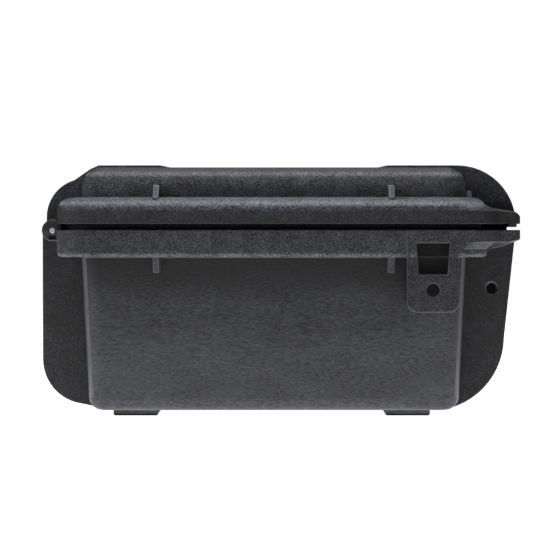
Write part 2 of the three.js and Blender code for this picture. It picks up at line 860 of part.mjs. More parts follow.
function leverOutline() {
  const [reach, z] = latchPivot;
  const hookTop = strikeTopZ + hookGap + hookThickness;
  const hookIn = leverInner - hookReachIn;
  return [
    ...arc(latchPivot, latchBarrelRadius, latchBarrelFromDegrees, latchBarrelToDegrees),
    [leverFace - leverWaist, z + latchBarrelRadius + leverCheek],
    [leverFace, baseRimBottomZ + baseRimHeight / 2],
    [leverFace, lidEdgeZ + partingGap],
    [leverFace - leverWaist / 2, strikeTopZ - hookRound],
    ...arc(
      [leverFace - leverWaist - hookRound, hookTop - hookRound],
      hookRound, hookRoundFromDegrees, 90, roundSteps,
    ),
    [hookIn + hookNose, hookTop],
    [hookIn, hookTop - hookNose],
    [hookIn, strikeTopZ + hookGap],
    [leverInner, strikeTopZ + hookGap],
    [leverInner, z + latchBarrelRadius],
    [reach - latchBarrelRadius, z + latchBarrelRadius / 2],
  ];
}

function leverPocket() {
  const face = leverFace - leverWeb;
  const low = latchPivot[1] + latchBarrelRadius + slideGap;
  return [
    [rimBack, low],
    [face - leverWaist, low],
    [face - leverWaist, low + leverCheek],
    [face, baseRimBottomZ + baseRimHeight / 2],
    [face, strikeTopZ - hookRound],
    [face - hookRound / 2, strikeTopZ - hookRound / 2],
    [rimBack, strikeTopZ - hookRound / 2],
  ];
}

const triggerX0 = leverX0 + buttonSideInset;
const triggerX1 = leverX1 - buttonSideInset;
const leverPocketX0 = leverX0 + leverCheek;
const leverPocketX1 = leverX1 - leverCheek;
const buttonBottomZ = triggerPivot[1] + buttonBottomRise;
const buttonTopZ = triggerPivot[1] + buttonTopRise;

function latchLever(side) {
  const body = alongX(leverOutline(), side * leverX0, side * leverX1);
  const pocket = alongX(leverPocket(), side * leverPocketX0, side * leverPocketX1);
  const backWeb = block(
    side * leverPocketX0, side * leverPocketX1, leverInner, leverInner + backWebThickness,
    strikeTopZ - backWebDrop - backWebHeight, strikeTopZ - backWebDrop,
  );
  const window = block(
    side * (triggerX0 - slideGap), side * (triggerX1 + slideGap),
    leverInner + backWebThickness, leverFace + overrun,
    buttonBottomZ - slideGap, buttonTopZ + windowTopGap,
  );
  const bore = (centre, radius) => rodX(
    centre, radius + seatGap, side * (leverX0 - overrun), side * (leverX1 + overrun), pinSides,
  );
  return cut(
    join(cut(body, pocket), backWeb), window,
    bore(latchPivot, latchPinRadius), bore(triggerPivot, triggerPinRadius),
  );
}

// Trigger

function latchTrigger(side) {
  const [reach, z] = triggerPivot;
  const face = leverFace + triggerProud;
  const pad = roundedOutline(face - buttonThickness, face, buttonBottomZ, buttonTopZ, triggerProud * 2);
  const arm = [
    [reach - triggerBarrelRadius, z],
    [reach + triggerBarrelRadius, z],
    [leverFace - leverWeb - slideGap, buttonBottomZ + triggerBarrelRadius],
    [face - buttonThickness, buttonBottomZ + triggerBarrelRadius * 2],
  ];
  const clawLow = z - clawDrop;
  const tip = reach - clawReach;
  const claw = [
    [reach + triggerBarrelRadius, z],
    [reach - triggerBarrelRadius / 2, z],
    [reach - triggerBarrelRadius / 2, clawLow + clawThickness],
    [tip + clawTipThickness, clawLow + clawThickness],
    [tip + clawTipThickness, clawLow + clawThickness + clawTipRise],
    [tip, clawLow + clawThickness + clawTipRise],
    [tip, clawLow + clawThickness / 2],
    [tip + clawTipThickness, clawLow],
    [reach + clawBack - clawThickness / 2, clawLow],
    [reach + clawBack, clawLow + clawThickness / 2],
  ];
  const x0 = side * triggerX0;
  const x1 = side * triggerX1;
  const rod = (radius, past) => rodX(
    triggerPivot, radius, side * (leverPocketX0 - past), side * (leverPocketX1 + past), pinSides,
  );
  const barrel = rod(triggerBarrelRadius, -seatGap);
  return cut(
    join(alongX(pad, x0, x1), alongX(arm, x0, x1), alongX(claw, x0, x1), barrel),
    rod(triggerPinRadius + seatGap, overrun),
  );
}

// Coil spring between the lever's inner web and the trigger, as one closed tube
function triggerSpring(side) {
  const from = leverInner + backWebThickness + springGrip + springWire;
  const to = leverFace + triggerProud - buttonThickness - springGrip - springWire;
  const z = triggerPivot[1] + springRise;
  const steps = springTurnCount * springTurnSteps;
  const points = Array.from({ length: steps + 1 }, (_, i) => {
    const angle = (2 * Math.PI * i) / springTurnSteps;
    return new THREE.Vector3(
      side * pocketMiddleX + springRadius * Math.cos(angle),
      yAt(from + ((to - from) * i) / steps),
      z + springRadius * Math.sin(angle),
    );
  });
  const path = new THREE.CatmullRomCurve3(points);
  const round = circle([0, 0], springWire, springSides);
  const section = new THREE.Shape(round.map(([a, b]) => new THREE.Vector2(a, b)));
  return solidOf(new THREE.ExtrudeGeometry(section, { extrudePath: path, steps, bevelEnabled: false }));
}

// Handle

function handleFrame() {
  const outerX = finInnerX - swingGap;
  const innerX = outerX - handleArmWidth;
  const [reach, z] = handlePivot;
  const gripZ = z - handleLength;
  const low = gripZ - coreHeight / 2;
  const innerBend = handleBendRadius / 3;
  const innerBendZ = gripZ + coreHeight / 2 + innerBend;
  const outline = [
    [outerX, z + handleEarRadius],
    [innerX, z + handleEarRadius],
    ...arc([innerX - innerBend, innerBendZ], innerBend, 0, -90, roundSteps),
    ...arc([-innerX + innerBend, innerBendZ], innerBend, 270, 180, roundSteps),
    [-innerX, z + handleEarRadius],
    [-outerX, z + handleEarRadius],
    ...arc([-outerX + handleBendRadius, low + handleBendRadius], handleBendRadius, 180, 270, roundSteps),
    ...arc([outerX - handleBendRadius, low + handleBendRadius], handleBendRadius, 270, 360, roundSteps),
  ];
  const bail = alongReach(outline, reach - handleArmThickness, reach + handleArmThickness);
  const sideForm = join(
    rodX(handlePivot, handleEarRadius, -outerX, outerX, holeSides),
    block(
      -outerX, outerX, reach - handleEarRadius, reach + handleEarRadius, gripZ + coreHeight / 2 + seatGap, z,
    ),
    block(
      -outerX, outerX, reach + gripOffset - coreDepth / 2, reach + gripOffset + coreDepth / 2, low, z,
    ),
  );
  const bores = rodX(handlePivot, handlePinRadius + seatGap, -outerX - overrun, outerX + overrun, pinSides);
  return cut(bail.intersect(sideForm), bores);
}

function handleGrip() {
  const half = finInnerX - swingGap - handleArmWidth - handleBendRadius / 3 - seatGap;
  const [pivotReach, pivotZ] = handlePivot;
  const reach = pivotReach + gripOffset;
  const z = pivotZ - handleLength;
  const section = roundedOutline(
    reach - gripDepth / 2, reach + gripDepth / 2, z - gripHeight / 2, z + gripHeight / 2, gripRound,
  );
  const core = block(
    -half - overrun, half + overrun, reach - coreDepth / 2 - seatGap, reach + coreDepth / 2 + seatGap,
    z - coreHeight / 2 - seatGap, z + coreHeight / 2 + seatGap,
  );
  const groovePitch = (2 * half) / (fingerGrooveCount + 1);
  const grooves = Array.from({ length: fingerGrooveCount }, (_, i) => {
    const x = -half + (i + 1) * groovePitch;
    const groove = circle([x, reach - gripDepth / 2 - fingerGrooveDepth], fingerGrooveDepth * 2, pinSides);
    return alongZ(groove, z - gripHeight, z + gripHeight);
  });
  return cut(alongX(section, -half, half), core, ...grooves);
}

// Valve

const flangeFrom = valveOutside + valveSealThickness + 2 * seatGap;
const flangeTo = flangeFrom + valveFlangeThickness;
const nutTo = valveInside - seatGap;
const nutFrom = nutTo - valveNutThickness;
const stemEnd = nutFrom - valveFlangeThickness / 2;

function valveBody() {
  return cut(
    join(valveRing(valveFlangeRadius, flangeFrom, flangeTo), valveRing(valveStemRadius, stemEnd, flangeTo)),
    valveRing(valveBoreRadius, stemEnd - overrun, flangeTo + overrun),
  );
}

const valveSeal = () => cut(
  valveRing(
    valveFlangeRadius - seatGap * 2, valveOutside + seatGap, valveOutside + seatGap + valveSealThickness,
  ),
  valveRing(valveStemRadius + seatGap, valveOutside - overrun, flangeTo),
);

const valveNut = () => cut(
  alongReach(circle([0, valveZ], valveNutRadius, nutSides), nutFrom, nutTo),
  valveRing(valveStemRadius + seatGap, nutFrom - overrun, nutTo + overrun),
);

const valveMembrane = () => valveRing(
  membraneRadius, flangeTo + seatGap, flangeTo + seatGap + membraneThickness,
);

function valveCap() {
  const from = flangeTo + seatGap;
  const to = from + valveCapThickness;
  const slots = sides.map((side) => alongReach(
    rectangle(side * valveCapRadius / 4 - valveSlotWidth / 2, side * valveCapRadius / 4 + valveSlotWidth / 2,
      valveZ - valveCapRadius / 2, valveZ + valveCapRadius / 2),
    from + membraneThickness, to + overrun,
  ));
  return cut(
    valveRing(valveCapRadius, from, to),
    valveRing(membraneRadius + seatGap, from - overrun, to - valveCapWall),
    ...slots,
  );
}

// Scene

const finish = {
  shell: new THREE.MeshStandardMaterial({ color: 0x3a3b3f, roughness: 0.55, metalness: 0 }),
  latch: new THREE.MeshStandardMaterial({ color: 0x2b2c2f, roughness: 0.45, metalness: 0 }),
  rubber: new THREE.MeshStandardMaterial({ color: 0x1d1d1f, roughness: 0.85, metalness: 0 }),
  steel: new THREE.MeshStandardMaterial({ color: 0xb9bbbd, roughness: 0.3, metalness: 1 }),
  membrane: new THREE.MeshStandardMaterial({ color: 0xe4e4e0, roughness: 0.9, metalness: 0 }),
};

const hardCase = new THREE.Group();

function add(name, solid, material) {
  const mesh = new THREE.Mesh(geometryOf(solid), material);
  mesh.name = name;
  hardCase.add(mesh);
}

add('base_shell', baseShell(), finish.shell);
add('lid_shell', lidShell(), finish.shell);
add('lid_gasket', gasket(), finish.rubber);

for (const side of sides) {
  const hand = sideName(side);
  add(`hinge_pin_${hand}`, rodX(
    hinge, hingePinRadius, side * hingeInnerX, side * hingeOuterX, pinSides,
  ), finish.steel);
  add(`latch_lever_${hand}`, latchLever(side), finish.latch);
  add(`latch_trigger_${hand}`, latchTrigger(side), finish.latch);
  add(`trigger_spring_${hand}`, triggerSpring(side), finish.steel);
  add(`trigger_pin_${hand}`, rodX(
    triggerPivot, triggerPinRadius, side * (leverX0 + seatGap), side * (leverX1 - seatGap), pinSides,
  ), finish.steel);
  add(`latch_pin_${hand}`, rodX(
    latchPivot, latchPinRadius,
    side * (finInnerX + seatGap), side * (outerFinOutX - latchPinRecess), pinSides,
  ), finish.steel);
  add(`handle_pin_${hand}`, rodX(
    handlePivot, handlePinRadius, side * (finInnerX - swingGap - handleArmWidth + handlePinInset),
    side * (pocketX0 - handlePinInset), pinSides,
  ), finish.steel);
}

add('handle_frame', handleFrame(), finish.latch);
add('handle_grip', handleGrip(), finish.rubber);
add('valve_body', valveBody(), finish.latch);
add('valve_seal', valveSeal(), finish.rubber);
add('valve_nut', valveNut(), finish.latch);
add('valve_membrane', valveMembrane(), finish.membrane);
add('valve_cap', valveCap(), finish.latch);

export default hardCase;
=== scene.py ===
"""Small waterproof hard case: its moulded shells, latches, handle, hinge, seal and valve, dressed on
the packed model, and a white studio that looks at its left end."""

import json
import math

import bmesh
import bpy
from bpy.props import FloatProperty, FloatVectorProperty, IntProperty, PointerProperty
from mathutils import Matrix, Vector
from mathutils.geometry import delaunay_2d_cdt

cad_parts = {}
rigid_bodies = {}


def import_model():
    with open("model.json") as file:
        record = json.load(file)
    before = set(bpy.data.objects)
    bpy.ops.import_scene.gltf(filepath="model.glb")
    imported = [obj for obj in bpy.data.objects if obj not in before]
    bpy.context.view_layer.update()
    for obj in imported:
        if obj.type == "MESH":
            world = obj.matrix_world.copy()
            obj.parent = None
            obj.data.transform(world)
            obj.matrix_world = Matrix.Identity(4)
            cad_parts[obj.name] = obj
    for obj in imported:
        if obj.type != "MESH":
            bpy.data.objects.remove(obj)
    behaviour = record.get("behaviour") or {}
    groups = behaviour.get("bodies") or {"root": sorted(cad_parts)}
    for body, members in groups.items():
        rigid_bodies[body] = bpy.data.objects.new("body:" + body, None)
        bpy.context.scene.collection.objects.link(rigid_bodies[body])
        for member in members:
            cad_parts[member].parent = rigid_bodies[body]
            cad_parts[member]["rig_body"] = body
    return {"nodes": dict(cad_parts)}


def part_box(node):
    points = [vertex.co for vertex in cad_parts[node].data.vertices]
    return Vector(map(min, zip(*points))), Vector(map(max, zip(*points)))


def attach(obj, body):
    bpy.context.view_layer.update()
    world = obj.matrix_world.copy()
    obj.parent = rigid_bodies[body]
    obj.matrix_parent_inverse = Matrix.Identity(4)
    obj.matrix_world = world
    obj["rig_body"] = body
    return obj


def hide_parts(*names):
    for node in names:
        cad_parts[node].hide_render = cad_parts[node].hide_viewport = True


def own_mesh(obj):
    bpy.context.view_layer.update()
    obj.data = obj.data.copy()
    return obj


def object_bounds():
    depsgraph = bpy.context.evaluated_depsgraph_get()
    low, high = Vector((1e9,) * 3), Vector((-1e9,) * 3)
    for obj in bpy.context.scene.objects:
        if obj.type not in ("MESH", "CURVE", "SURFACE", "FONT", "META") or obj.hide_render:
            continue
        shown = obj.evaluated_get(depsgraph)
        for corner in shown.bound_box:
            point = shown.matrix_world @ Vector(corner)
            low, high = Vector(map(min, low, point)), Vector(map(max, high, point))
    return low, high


bl_info = {
    "name": "Waterproof Hard Case",
    "version": (1, 0, 0),
    "blender": (4, 5, 0),
    "location": "3D View > Sidebar > Hard Case",
    "description": "Builds a small waterproof hard case with its latches, handle, hinge, seal and valve",
    "category": "Add Mesh",
}

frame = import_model()
CAD_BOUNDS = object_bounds()

MM = 0.001
SIDES = ("left", "right")
NODES = frame["nodes"]


# Sizes and colours


def length(name, description, default):
    """A size in metres that a user can change."""
    return FloatProperty(
        name=name, description=description, default=default, min=0.0, precision=5, unit="LENGTH",
    )


def colour(name, description, default):
    """A linear colour that a user can change."""
    return FloatVectorProperty(
        name=name, description=description, default=default, size=3, min=0.0, max=1.0, subtype="COLOR",
    )


def share(name, description, default):
    """A value from 0 to 1 that a user can change."""
    return FloatProperty(
        name=name, description=description, default=default, min=0.0, max=1.0, subtype="FACTOR",
    )


def light_level(name, description, default):
    """The power or brightness of a light that a user can change."""
    return FloatProperty(name=name, description=description, default=default, min=0.0)


class ShellSettings(bpy.types.PropertyGroup):
    """The two moulded shells."""

    edge_round: length("Edge rounding", "Radius on the shells' outer corners", 0.35 * MM)
    wall_colour: colour("Wall plastic", "Charcoal of the drafted walls", (0.029, 0.030, 0.037))
    rim_colour: colour("Rim plastic", "Charcoal of the thick rims", (0.030, 0.031, 0.037))
    # The fins' darker charcoal paints shade: they are the same moulding as the walls
    fin_painted_shade_colour: colour("Fin plastic", "Charcoal of the fins and bumpers", (0.012, 0.0125, 0.016))
    # Lighter than the walls: wear, and a painted highlight on edges, end corners and the boss
    edge_wear_and_highlight_colour: colour("Rubbed, painted-highlight edge", "Plastic polished by handling and painted lighter as a highlight", (0.075, 0.076, 0.084))
    wall_roughness: share("Wall roughness", "Roughness of the walls", 0.50)
    rim_roughness: share("Rim roughness", "Roughness of the rims", 0.58)
    grain_size: length("Grain size", "Width of one speck of the moulded texture", 0.75 * MM)
    streak_height: length("Streak height", "Height of one streak of the walls' grain", 0.8 * MM)


class LatchSettings(bpy.types.PropertyGroup):
    """The latches and the handle frame."""

    edge_round: length("Edge rounding", "Radius on the corners of latch and handle parts", 0.4 * MM)
    plastic: colour("Latch plastic", "Black of the levers, triggers and handle", (0.016, 0.016, 0.018))
    roughness: share("Roughness", "Roughness of the latch plastic", 0.42)
    ridge_count: IntProperty(name="Ridges", description="Finger ridges on each trigger", default=4, min=1)
    ridge_pitch: length("Ridge pitch", "From one finger ridge to the next", 2.4 * MM)
    ridge_radius: length("Ridge radius", "Radius of a finger ridge", 0.7 * MM)


class RubberSettings(bpy.types.PropertyGroup):
    """The grip, the gasket and the valve's seal."""

    edge_round: length("Edge rounding", "Radius on rubber corners", 0.5 * MM)
    rubber: colour("Rubber", "Black of the rubber", (0.012, 0.012, 0.012))
    roughness: share("Roughness", "Roughness of the rubber", 0.78)
    ring_count: IntProperty(name="Rings", description="Raised rings round the grip", default=11, min=1)
    ring_pitch: length("Ring pitch", "From one ring of the grip to the next", 6.0 * MM)
    ring_bead: length("Ring bead", "Radius of a ring's bead", 0.8 * MM)


class MetalSettings(bpy.types.PropertyGroup):
    """The pins and the springs."""

    chamfer: length("Pin chamfer", "Bevel on each pin's ends", 0.3 * MM)
    steel: colour("Stainless steel", "Colour of hinge pins and springs", (0.80, 0.80, 0.79))
    blackened: colour("Blackened steel", "Colour of the latch and handle pins", (0.010, 0.010, 0.011))
    roughness: share("Roughness", "Roughness of drawn steel", 0.42)
    wire: length("Spring wire", "Radius of the springs' wire", 0.35 * MM)
    turns: IntProperty(name="Spring turns", description="Turns of each trigger spring", default=4, min=2)


class StudioSettings(bpy.types.PropertyGroup):
    """The floor, the lights and the camera."""

    camera_distance: length("Camera distance", "From the middle of the case to the lens", 1.3235)
    camera_height: length("Camera height", "Height of the lens, level with the parting line", 95.2 * MM)
    camera_side: length("Camera side step", "How far the lens stands towards the hinge", 0.1 * MM)
    focal_length: FloatProperty(
        name="Focal length", description="Lens, in millimetres", default=154.3, min=10.0,
    )
    tilt: FloatProperty(
        name="Tilt", description="How far the camera looks down", default=math.radians(1.205),
        subtype="ANGLE",
    )
    floor_colour: colour("Floor", "Pale floor", (0.92, 0.92, 0.92))
    floor_radius: length("Floor radius", "Radius of the floor", 60.0)
    sky: light_level("Surround", "Brightness of the surround as it is seen", 1.05)
    fill: light_level("Fill", "Light that the surround sheds on the case", 0.02)
    sweep: light_level("Sweep", "Brightness that the floor adds as it is seen", 1.0)
    top_power: light_level("Top", "Power of the softbox above the case", 18.3)
    side_power: light_level("Side", "Power of the softbox on the hinge side", 7.0)
    table_power: light_level("Table", "Power of the light table under the case", 0.85)


# Meshes

MERGE_DISTANCE = 0.002 * MM
FLAT_ANGLE = math.radians(0.05)
SAME_FLAT = math.cos(math.radians(0.08))
SHARP_ANGLE = math.radians(28)  # edges from here up are rounded
SHADED_ANGLE = math.radians(60)  # edges from here up stay sharp in the shading
ROOM_SHARE = 0.42  # how much of the gap between two edges each one's rounding may take
ROUND_SEGMENTS = 2
FEWEST_CORNERS = 5  # an area of one triangle or one quad isn't filled again
FILL_TOLERANCE = 0.00001


def object_from(mesh, name):
    """A new object that holds mesh, at the origin."""
    piece = bpy.data.objects.new(name, mesh)
    bpy.context.scene.collection.objects.link(piece)
    return piece


def baked(piece):
    """Applies every modifier of piece to its mesh."""
    graph = bpy.context.evaluated_depsgraph_get()
    mesh = bpy.data.meshes.new_from_object(
        piece.evaluated_get(graph), preserve_all_data_layers=True, depsgraph=graph,
    )
    piece.modifiers.clear()
    old = piece.data
    piece.data = mesh
    bpy.data.meshes.remove(old)
    mesh.name = piece.name
    return piece


def merged_mesh(node, zone, round_width):
    """A CAD node's mesh with its doubles merged and its flat faces joined. zone gives each face's material.
    Each sharp edge's weight is the share of round_width that it has room for."""
    mesh = bpy.data.meshes.new(node + "_fine")
    form = bmesh.new()
    form.from_mesh(NODES[node].data)
    bmesh.ops.remove_doubles(form, verts=form.verts, dist=MERGE_DISTANCE)
    bmesh.ops.dissolve_limit(form, angle_limit=FLAT_ANGLE, verts=form.verts, edges=form.edges)
    weight = form.edges.layers.float.new("bevel_weight_edge")
    sharp = {edge for edge in form.edges if edge.calc_face_angle(0.0) > SHARP_ANGLE}
    room = dict.fromkeys(sharp, round_width)
    for face in form.faces:
        edges = [edge for edge in face.edges if edge in sharp]
        for number, one in enumerate(edges):
            for other in edges[number + 1:]:
                if not set(one.verts) & set(other.verts):
                    near = ROOM_SHARE * spacing(one, other)
                    room[one] = min(room[one], near)
                    room[other] = min(room[other], near)
    for edge, width in room.items():
        edge[weight] = width / round_width
    for face in form.faces:
        face.material_index = zone(face)
    number_flats(form)
    form.to_mesh(mesh)
    form.free()
    return mesh


def spacing(one, other):
    """The gap between two edges of one face."""
    gaps = []
    for first, second in ((one, other), (other, one)):
        start, end = (vert.co for vert in second.verts)
        along = end - start
        for vert in first.verts:
            part = min(max((vert.co - start).dot(along) / along.length_squared, 0.0), 1.0)
            gaps.append((vert.co - start - along * part).length)
    return min(gaps)


def number_flats(form):
    """Numbers each flat area, so that it can be filled again once its edges are rounded."""
    flat = form.faces.layers.int.new("flat")
    number = 0
    for first in form.faces:
        if first[flat]:
            continue
        number += 1
        first[flat] = number
        front = [first]
        while front:
            face = front.pop()
            for edge in face.edges:
                for other in edge.link_faces:
                    level = other.normal.dot(first.normal) > SAME_FLAT
                    if level and not other[flat] and other.material_index == first.material_index:
                        other[flat] = number
                        front.append(other)


def inside(point, edges):
    """Whether a point of a plane lies inside the loops that edges make."""
    crossings = 0
    for (ax, ay), (bx, by) in edges:
        if (ay > point[1]) != (by > point[1]) and point[0] < ax + (point[1] - ay) * (bx - ax) / (by - ay):
            crossings += 1
    return crossings % 2 == 1


def refill_flats(mesh, rounding):
    """Fills each flat area afresh from its outline, because rounding its edges folds long joined faces.
    The faces that the rounding made, with the material numbered rounding, stay."""
    form = bmesh.new()
    form.from_mesh(mesh)
    flat = form.faces.layers.int["flat"]
    areas = {}
    for face in form.faces:
        if face.material_index != rounding:
            areas.setdefault(face[flat], []).append(face)
    for faces in areas.values():
        if sum(len(face.verts) for face in faces) >= FEWEST_CORNERS:
            refill(form, faces)
    bmesh.ops.delete(form, geom=[edge for edge in form.edges if not edge.link_faces], context="EDGES")
    form.to_mesh(mesh)
    form.free()


def refill(form, faces):
    """Puts fresh triangles in the place of the faces of one flat area."""
    members = set(faces)
    outline = [
        edge for face in faces for edge in face.edges
        if sum(other in members for other in edge.link_faces) == 1
    ]
    normal = max(faces, key=lambda face: face.calc_area()).normal.copy()
    across = normal.orthogonal().normalized()
    up = normal.cross(across)
    corners = list(dict.fromkeys(vert for edge in outline for vert in edge.verts))
    place = {vert: number for number, vert in enumerate(corners)}
    flat_points = [Vector((vert.co.dot(across), vert.co.dot(up))) / MM for vert in corners]
    pairs = [(place[edge.verts[0]], place[edge.verts[1]]) for edge in outline]
    points, _, triangles, sources, _, _ = delaunay_2d_cdt(flat_points, pairs, [], 0, FILL_TOLERANCE)
    loops = [(flat_points[a], flat_points[b]) for a, b in pairs]
    slot, smooth = faces[0].material_index, faces[0].smooth
    bmesh.ops.delete(form, geom=faces, context="FACES_ONLY")
    level = corners[0].co.dot(normal)
    ends = [
        corners[source[0]] if source
        else form.verts.new((across * point.x + up * point.y) * MM + normal * level)
        for point, source in zip(points, sources)
    ]
    for triangle in triangles:
        if inside(sum((points[i] for i in triangle), Vector((0.0, 0.0))) / 3, loops):
            try:
                face = form.faces.new([ends[i] for i in triangle])
            except ValueError:  # this face is there already
                continue
            face.material_index, face.smooth = slot, smooth


def refined(node, materials, round_width, zone=lambda face: 0, edge_slot=0):
    """A finer copy of a CAD node, which it stands for: rounded edges, smooth curves and its own materials.
    It stays inside the node's box. edge_slot is the material of the rounded edges."""
    piece = object_from(merged_mesh(node, zone, round_width), node + "_fine")
    rounding = len(materials)
    for material in (*materials, materials[edge_slot]):
        piece.data.materials.append(material)
    bevel = piece.modifiers.new("Rounded edges", "BEVEL")
    bevel.limit_method = "WEIGHT"
    bevel.width = round_width
    bevel.segments = ROUND_SEGMENTS
    bevel.use_clamp_overlap = False
    bevel.miter_outer = "MITER_ARC"
    bevel.material = rounding
    piece.data.shade_smooth()
    baked(piece)
    refill_flats(piece.data, rounding)
    for face in piece.data.polygons:
        if face.material_index == rounding:
            face.material_index = edge_slot
    piece.data.materials.pop(index=rounding)
    low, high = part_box(node)
    for vert in piece.data.vertices:
        vert.co = [min(max(place, least), most) for place, least, most in zip(vert.co, low, high)]
    piece.data.set_sharp_from_angle(angle=SHADED_ANGLE)
    normals = piece.modifiers.new("Flat faces stay flat", "WEIGHTED_NORMAL")
    normals.keep_sharp = True
    baked(piece)
    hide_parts(node)
    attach(piece, NODES[node]["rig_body"])
    return piece


# Nodes that every tree uses


def new_group(name, inputs, outputs, kind="Shader"):
    """A node group with named inputs and outputs."""
    group = bpy.data.node_groups.new(name, kind + "NodeTree")
    for label, socket_kind, default in inputs:
        socket = group.interface.new_socket(label, in_out="INPUT", socket_type="NodeSocket" + socket_kind)
        if default is not None:
            socket.default_value = default
    for label, socket_kind in outputs:
        group.interface.new_socket(label, in_out="OUTPUT", socket_type="NodeSocket" + socket_kind)
    return group, group.nodes.new("NodeGroupInput"), group.nodes.new("NodeGroupOutput")


def math_node(tree, operation, a, b=None, clamp=False):
    """A Math node. Each input is a socket or a number."""
    node = tree.nodes.new("ShaderNodeMath")
    node.operation = operation
    node.use_clamp = clamp
    for socket, value in zip(node.inputs, (a, b)):
        if isinstance(value, bpy.types.NodeSocket):
            tree.links.new(value, socket)
        elif value is not None:
            socket.default_value = value
    return node.outputs[0]


def blended(tree, first, second, part):
    """first times part, and second times the rest."""
    rest = math_node(tree, "MULTIPLY", second, 1.0 - part)
    return math_node(tree, "ADD", math_node(tree, "MULTIPLY", first, part), rest)


def parts_of(tree, vector):
    """The X, Y and Z of a vector, by name."""
    node = tree.nodes.new("ShaderNodeSeparateXYZ")
    tree.links.new(vector, node.inputs["Vector"])
    return node.outputs


# Shader groups

# Sandy grain: fine specks on coordinates scaled and turned by these, mixed with coarser ones
GRAIN_STRETCH = (0.8, 0.75, 1.0)
GRAIN_TURN = 0.5
COARSE_FREQUENCY = 0.12
FINE_SHARE = 0.8

# Walls: level streaks, mixed with slanting flow marks
STREAK_STRETCH = (0.32, 0.32, 1.0)
FLOW_SCALES = (28.0, 28.0, 75.0)
FLOW_TURN = 0.5
LEVEL_SHARE = 0.75

CLOUD_SCALE = 38.0

# The block of wall behind a lug, where shade is painted: its middle and half its size. X is the same on both
# ends
LUG_BACK = {"X": (125.9 * MM, 4.1 * MM), "Y": (-75.8 * MM, 13.0 * MM), "Z": (72.0 * MM, 17.5 * MM)}

GROUPS = {}


def noise_node(tree, vector, scale, detail=3.0, roughness=0.5):
    """A Noise Texture on vector. scale is a socket or a number."""
    node = tree.nodes.new("ShaderNodeTexNoise")
    tree.links.new(vector, node.inputs["Vector"])
    if isinstance(scale, bpy.types.NodeSocket):
        tree.links.new(scale, node.inputs["Scale"])
    else:
        node.inputs["Scale"].default_value = scale
    node.inputs["Detail"].default_value = detail
    node.inputs["Roughness"].default_value = roughness
    return node.outputs["Fac"]


def stretched(tree, vector, scales, turn=0.0):
    """Object coordinates, turned about X and then scaled."""
    node = tree.nodes.new("ShaderNodeMapping")
    node.vector_type = "POINT"
    tree.links.new(vector, node.inputs["Vector"])
    node.inputs["Rotation"].default_value = (turn, 0.0, 0.0)
    node.inputs["Scale"].default_value = scales
    return node.outputs["Vector"]


def grain_group():
    """Sandy moulded texture: a value round 0.5 that serves as height and as light and dark."""
    group, given, made = new_group(
        "Moulded Grain",
        [("Vector", "Vector", (0, 0, 0)), ("Speck", "Float", 0.5 * MM)],
        [("Value", "Float")],
    )
    vector = given.outputs["Vector"]
    frequency = math_node(group, "DIVIDE", 1.0, given.outputs["Speck"])
    fine = noise_node(group, stretched(group, vector, GRAIN_STRETCH, GRAIN_TURN), frequency, roughness=0.7)
    coarse = noise_node(group, vector, math_node(group, "MULTIPLY", frequency, COARSE_FREQUENCY))
    group.links.new(blended(group, fine, coarse, FINE_SHARE), made.inputs["Value"])
    return group


def streak_group():
    """Level grain of drafted walls, with faint diagonal flow marks of the moulding: a value round 0.5."""
    group, given, made = new_group(
        "Flow Streaks",
        [("Vector", "Vector", (0, 0, 0)), ("Streak", "Float", 0.9 * MM)],
        [("Value", "Float")],
    )
    vector = given.outputs["Vector"]
    frequency = math_node(group, "DIVIDE", 1.0, given.outputs["Streak"])
    level = noise_node(group, stretched(group, vector, STREAK_STRETCH), frequency, roughness=0.65)
    flow = noise_node(group, stretched(group, vector, FLOW_SCALES, FLOW_TURN), 1.0)
    group.links.new(blended(group, level, flow, LEVEL_SHARE), made.inputs["Value"])
    return group


def handling_group():
    """Cloudy change of gloss that hands and dust leave."""
    group, given, made = new_group(
        "Handling",
        [("Vector", "Vector", (0, 0, 0)), ("Base", "Float", 0.5), ("Range", "Float", 0.1)],
        [("Roughness", "Float")],
    )
    cloud = noise_node(group, given.outputs["Vector"], CLOUD_SCALE, roughness=0.6)
    centred = math_node(group, "SUBTRACT", cloud, 0.5)
    offset = math_node(group, "MULTIPLY", centred, given.outputs["Range"])
    roughness = math_node(group, "ADD", given.outputs["Base"], offset, clamp=True)
    group.links.new(roughness, made.inputs["Roughness"])
    return group


def lug_shade_group():
    """Painted shade on the wall behind each lug: a tone that is 1 everywhere else."""
    group, given, made = new_group(
        "Lug Shade", [("Vector", "Vector", (0, 0, 0)), ("Shade Tone", "Float", 0.16)], [("Tone", "Float")],
    )
    parts = parts_of(group, given.outputs["Vector"])
    places = {"X": math_node(group, "ABSOLUTE", parts["X"]), "Y": parts["Y"], "Z": parts["Z"]}
    in_shade = 1.0
    for axis, (middle, half) in LUG_BACK.items():
        away = math_node(group, "ABSOLUTE", math_node(group, "SUBTRACT", places[axis], middle))
        in_shade = math_node(group, "MULTIPLY", in_shade, math_node(group, "LESS_THAN", away, half))
    loss = math_node(group, "MULTIPLY", in_shade, math_node(group, "SUBTRACT", 1.0, given.outputs["Shade Tone"]))
    group.links.new(math_node(group, "SUBTRACT", 1.0, loss), made.inputs["Tone"])
    return group


GROUP_MAKERS = {
    "grain": grain_group,
    "streak": streak_group,
    "handling": handling_group,
    "lug shade": lug_shade_group,
}


def place_group(tree, name, vector, **values):
    """Places a shared group in a material with its own values, and gives its only output. The group is
    built the first time it is asked for."""
    if name not in GROUPS:
        GROUPS[name] = GROUP_MAKERS[name]()
    node = tree.nodes.new("ShaderNodeGroup")
    node.node_tree = GROUPS[name]
    tree.links.new(vector, node.inputs["Vector"])
    for label, value in values.items():
        node.inputs[label].default_value = value
    return node.outputs[0]
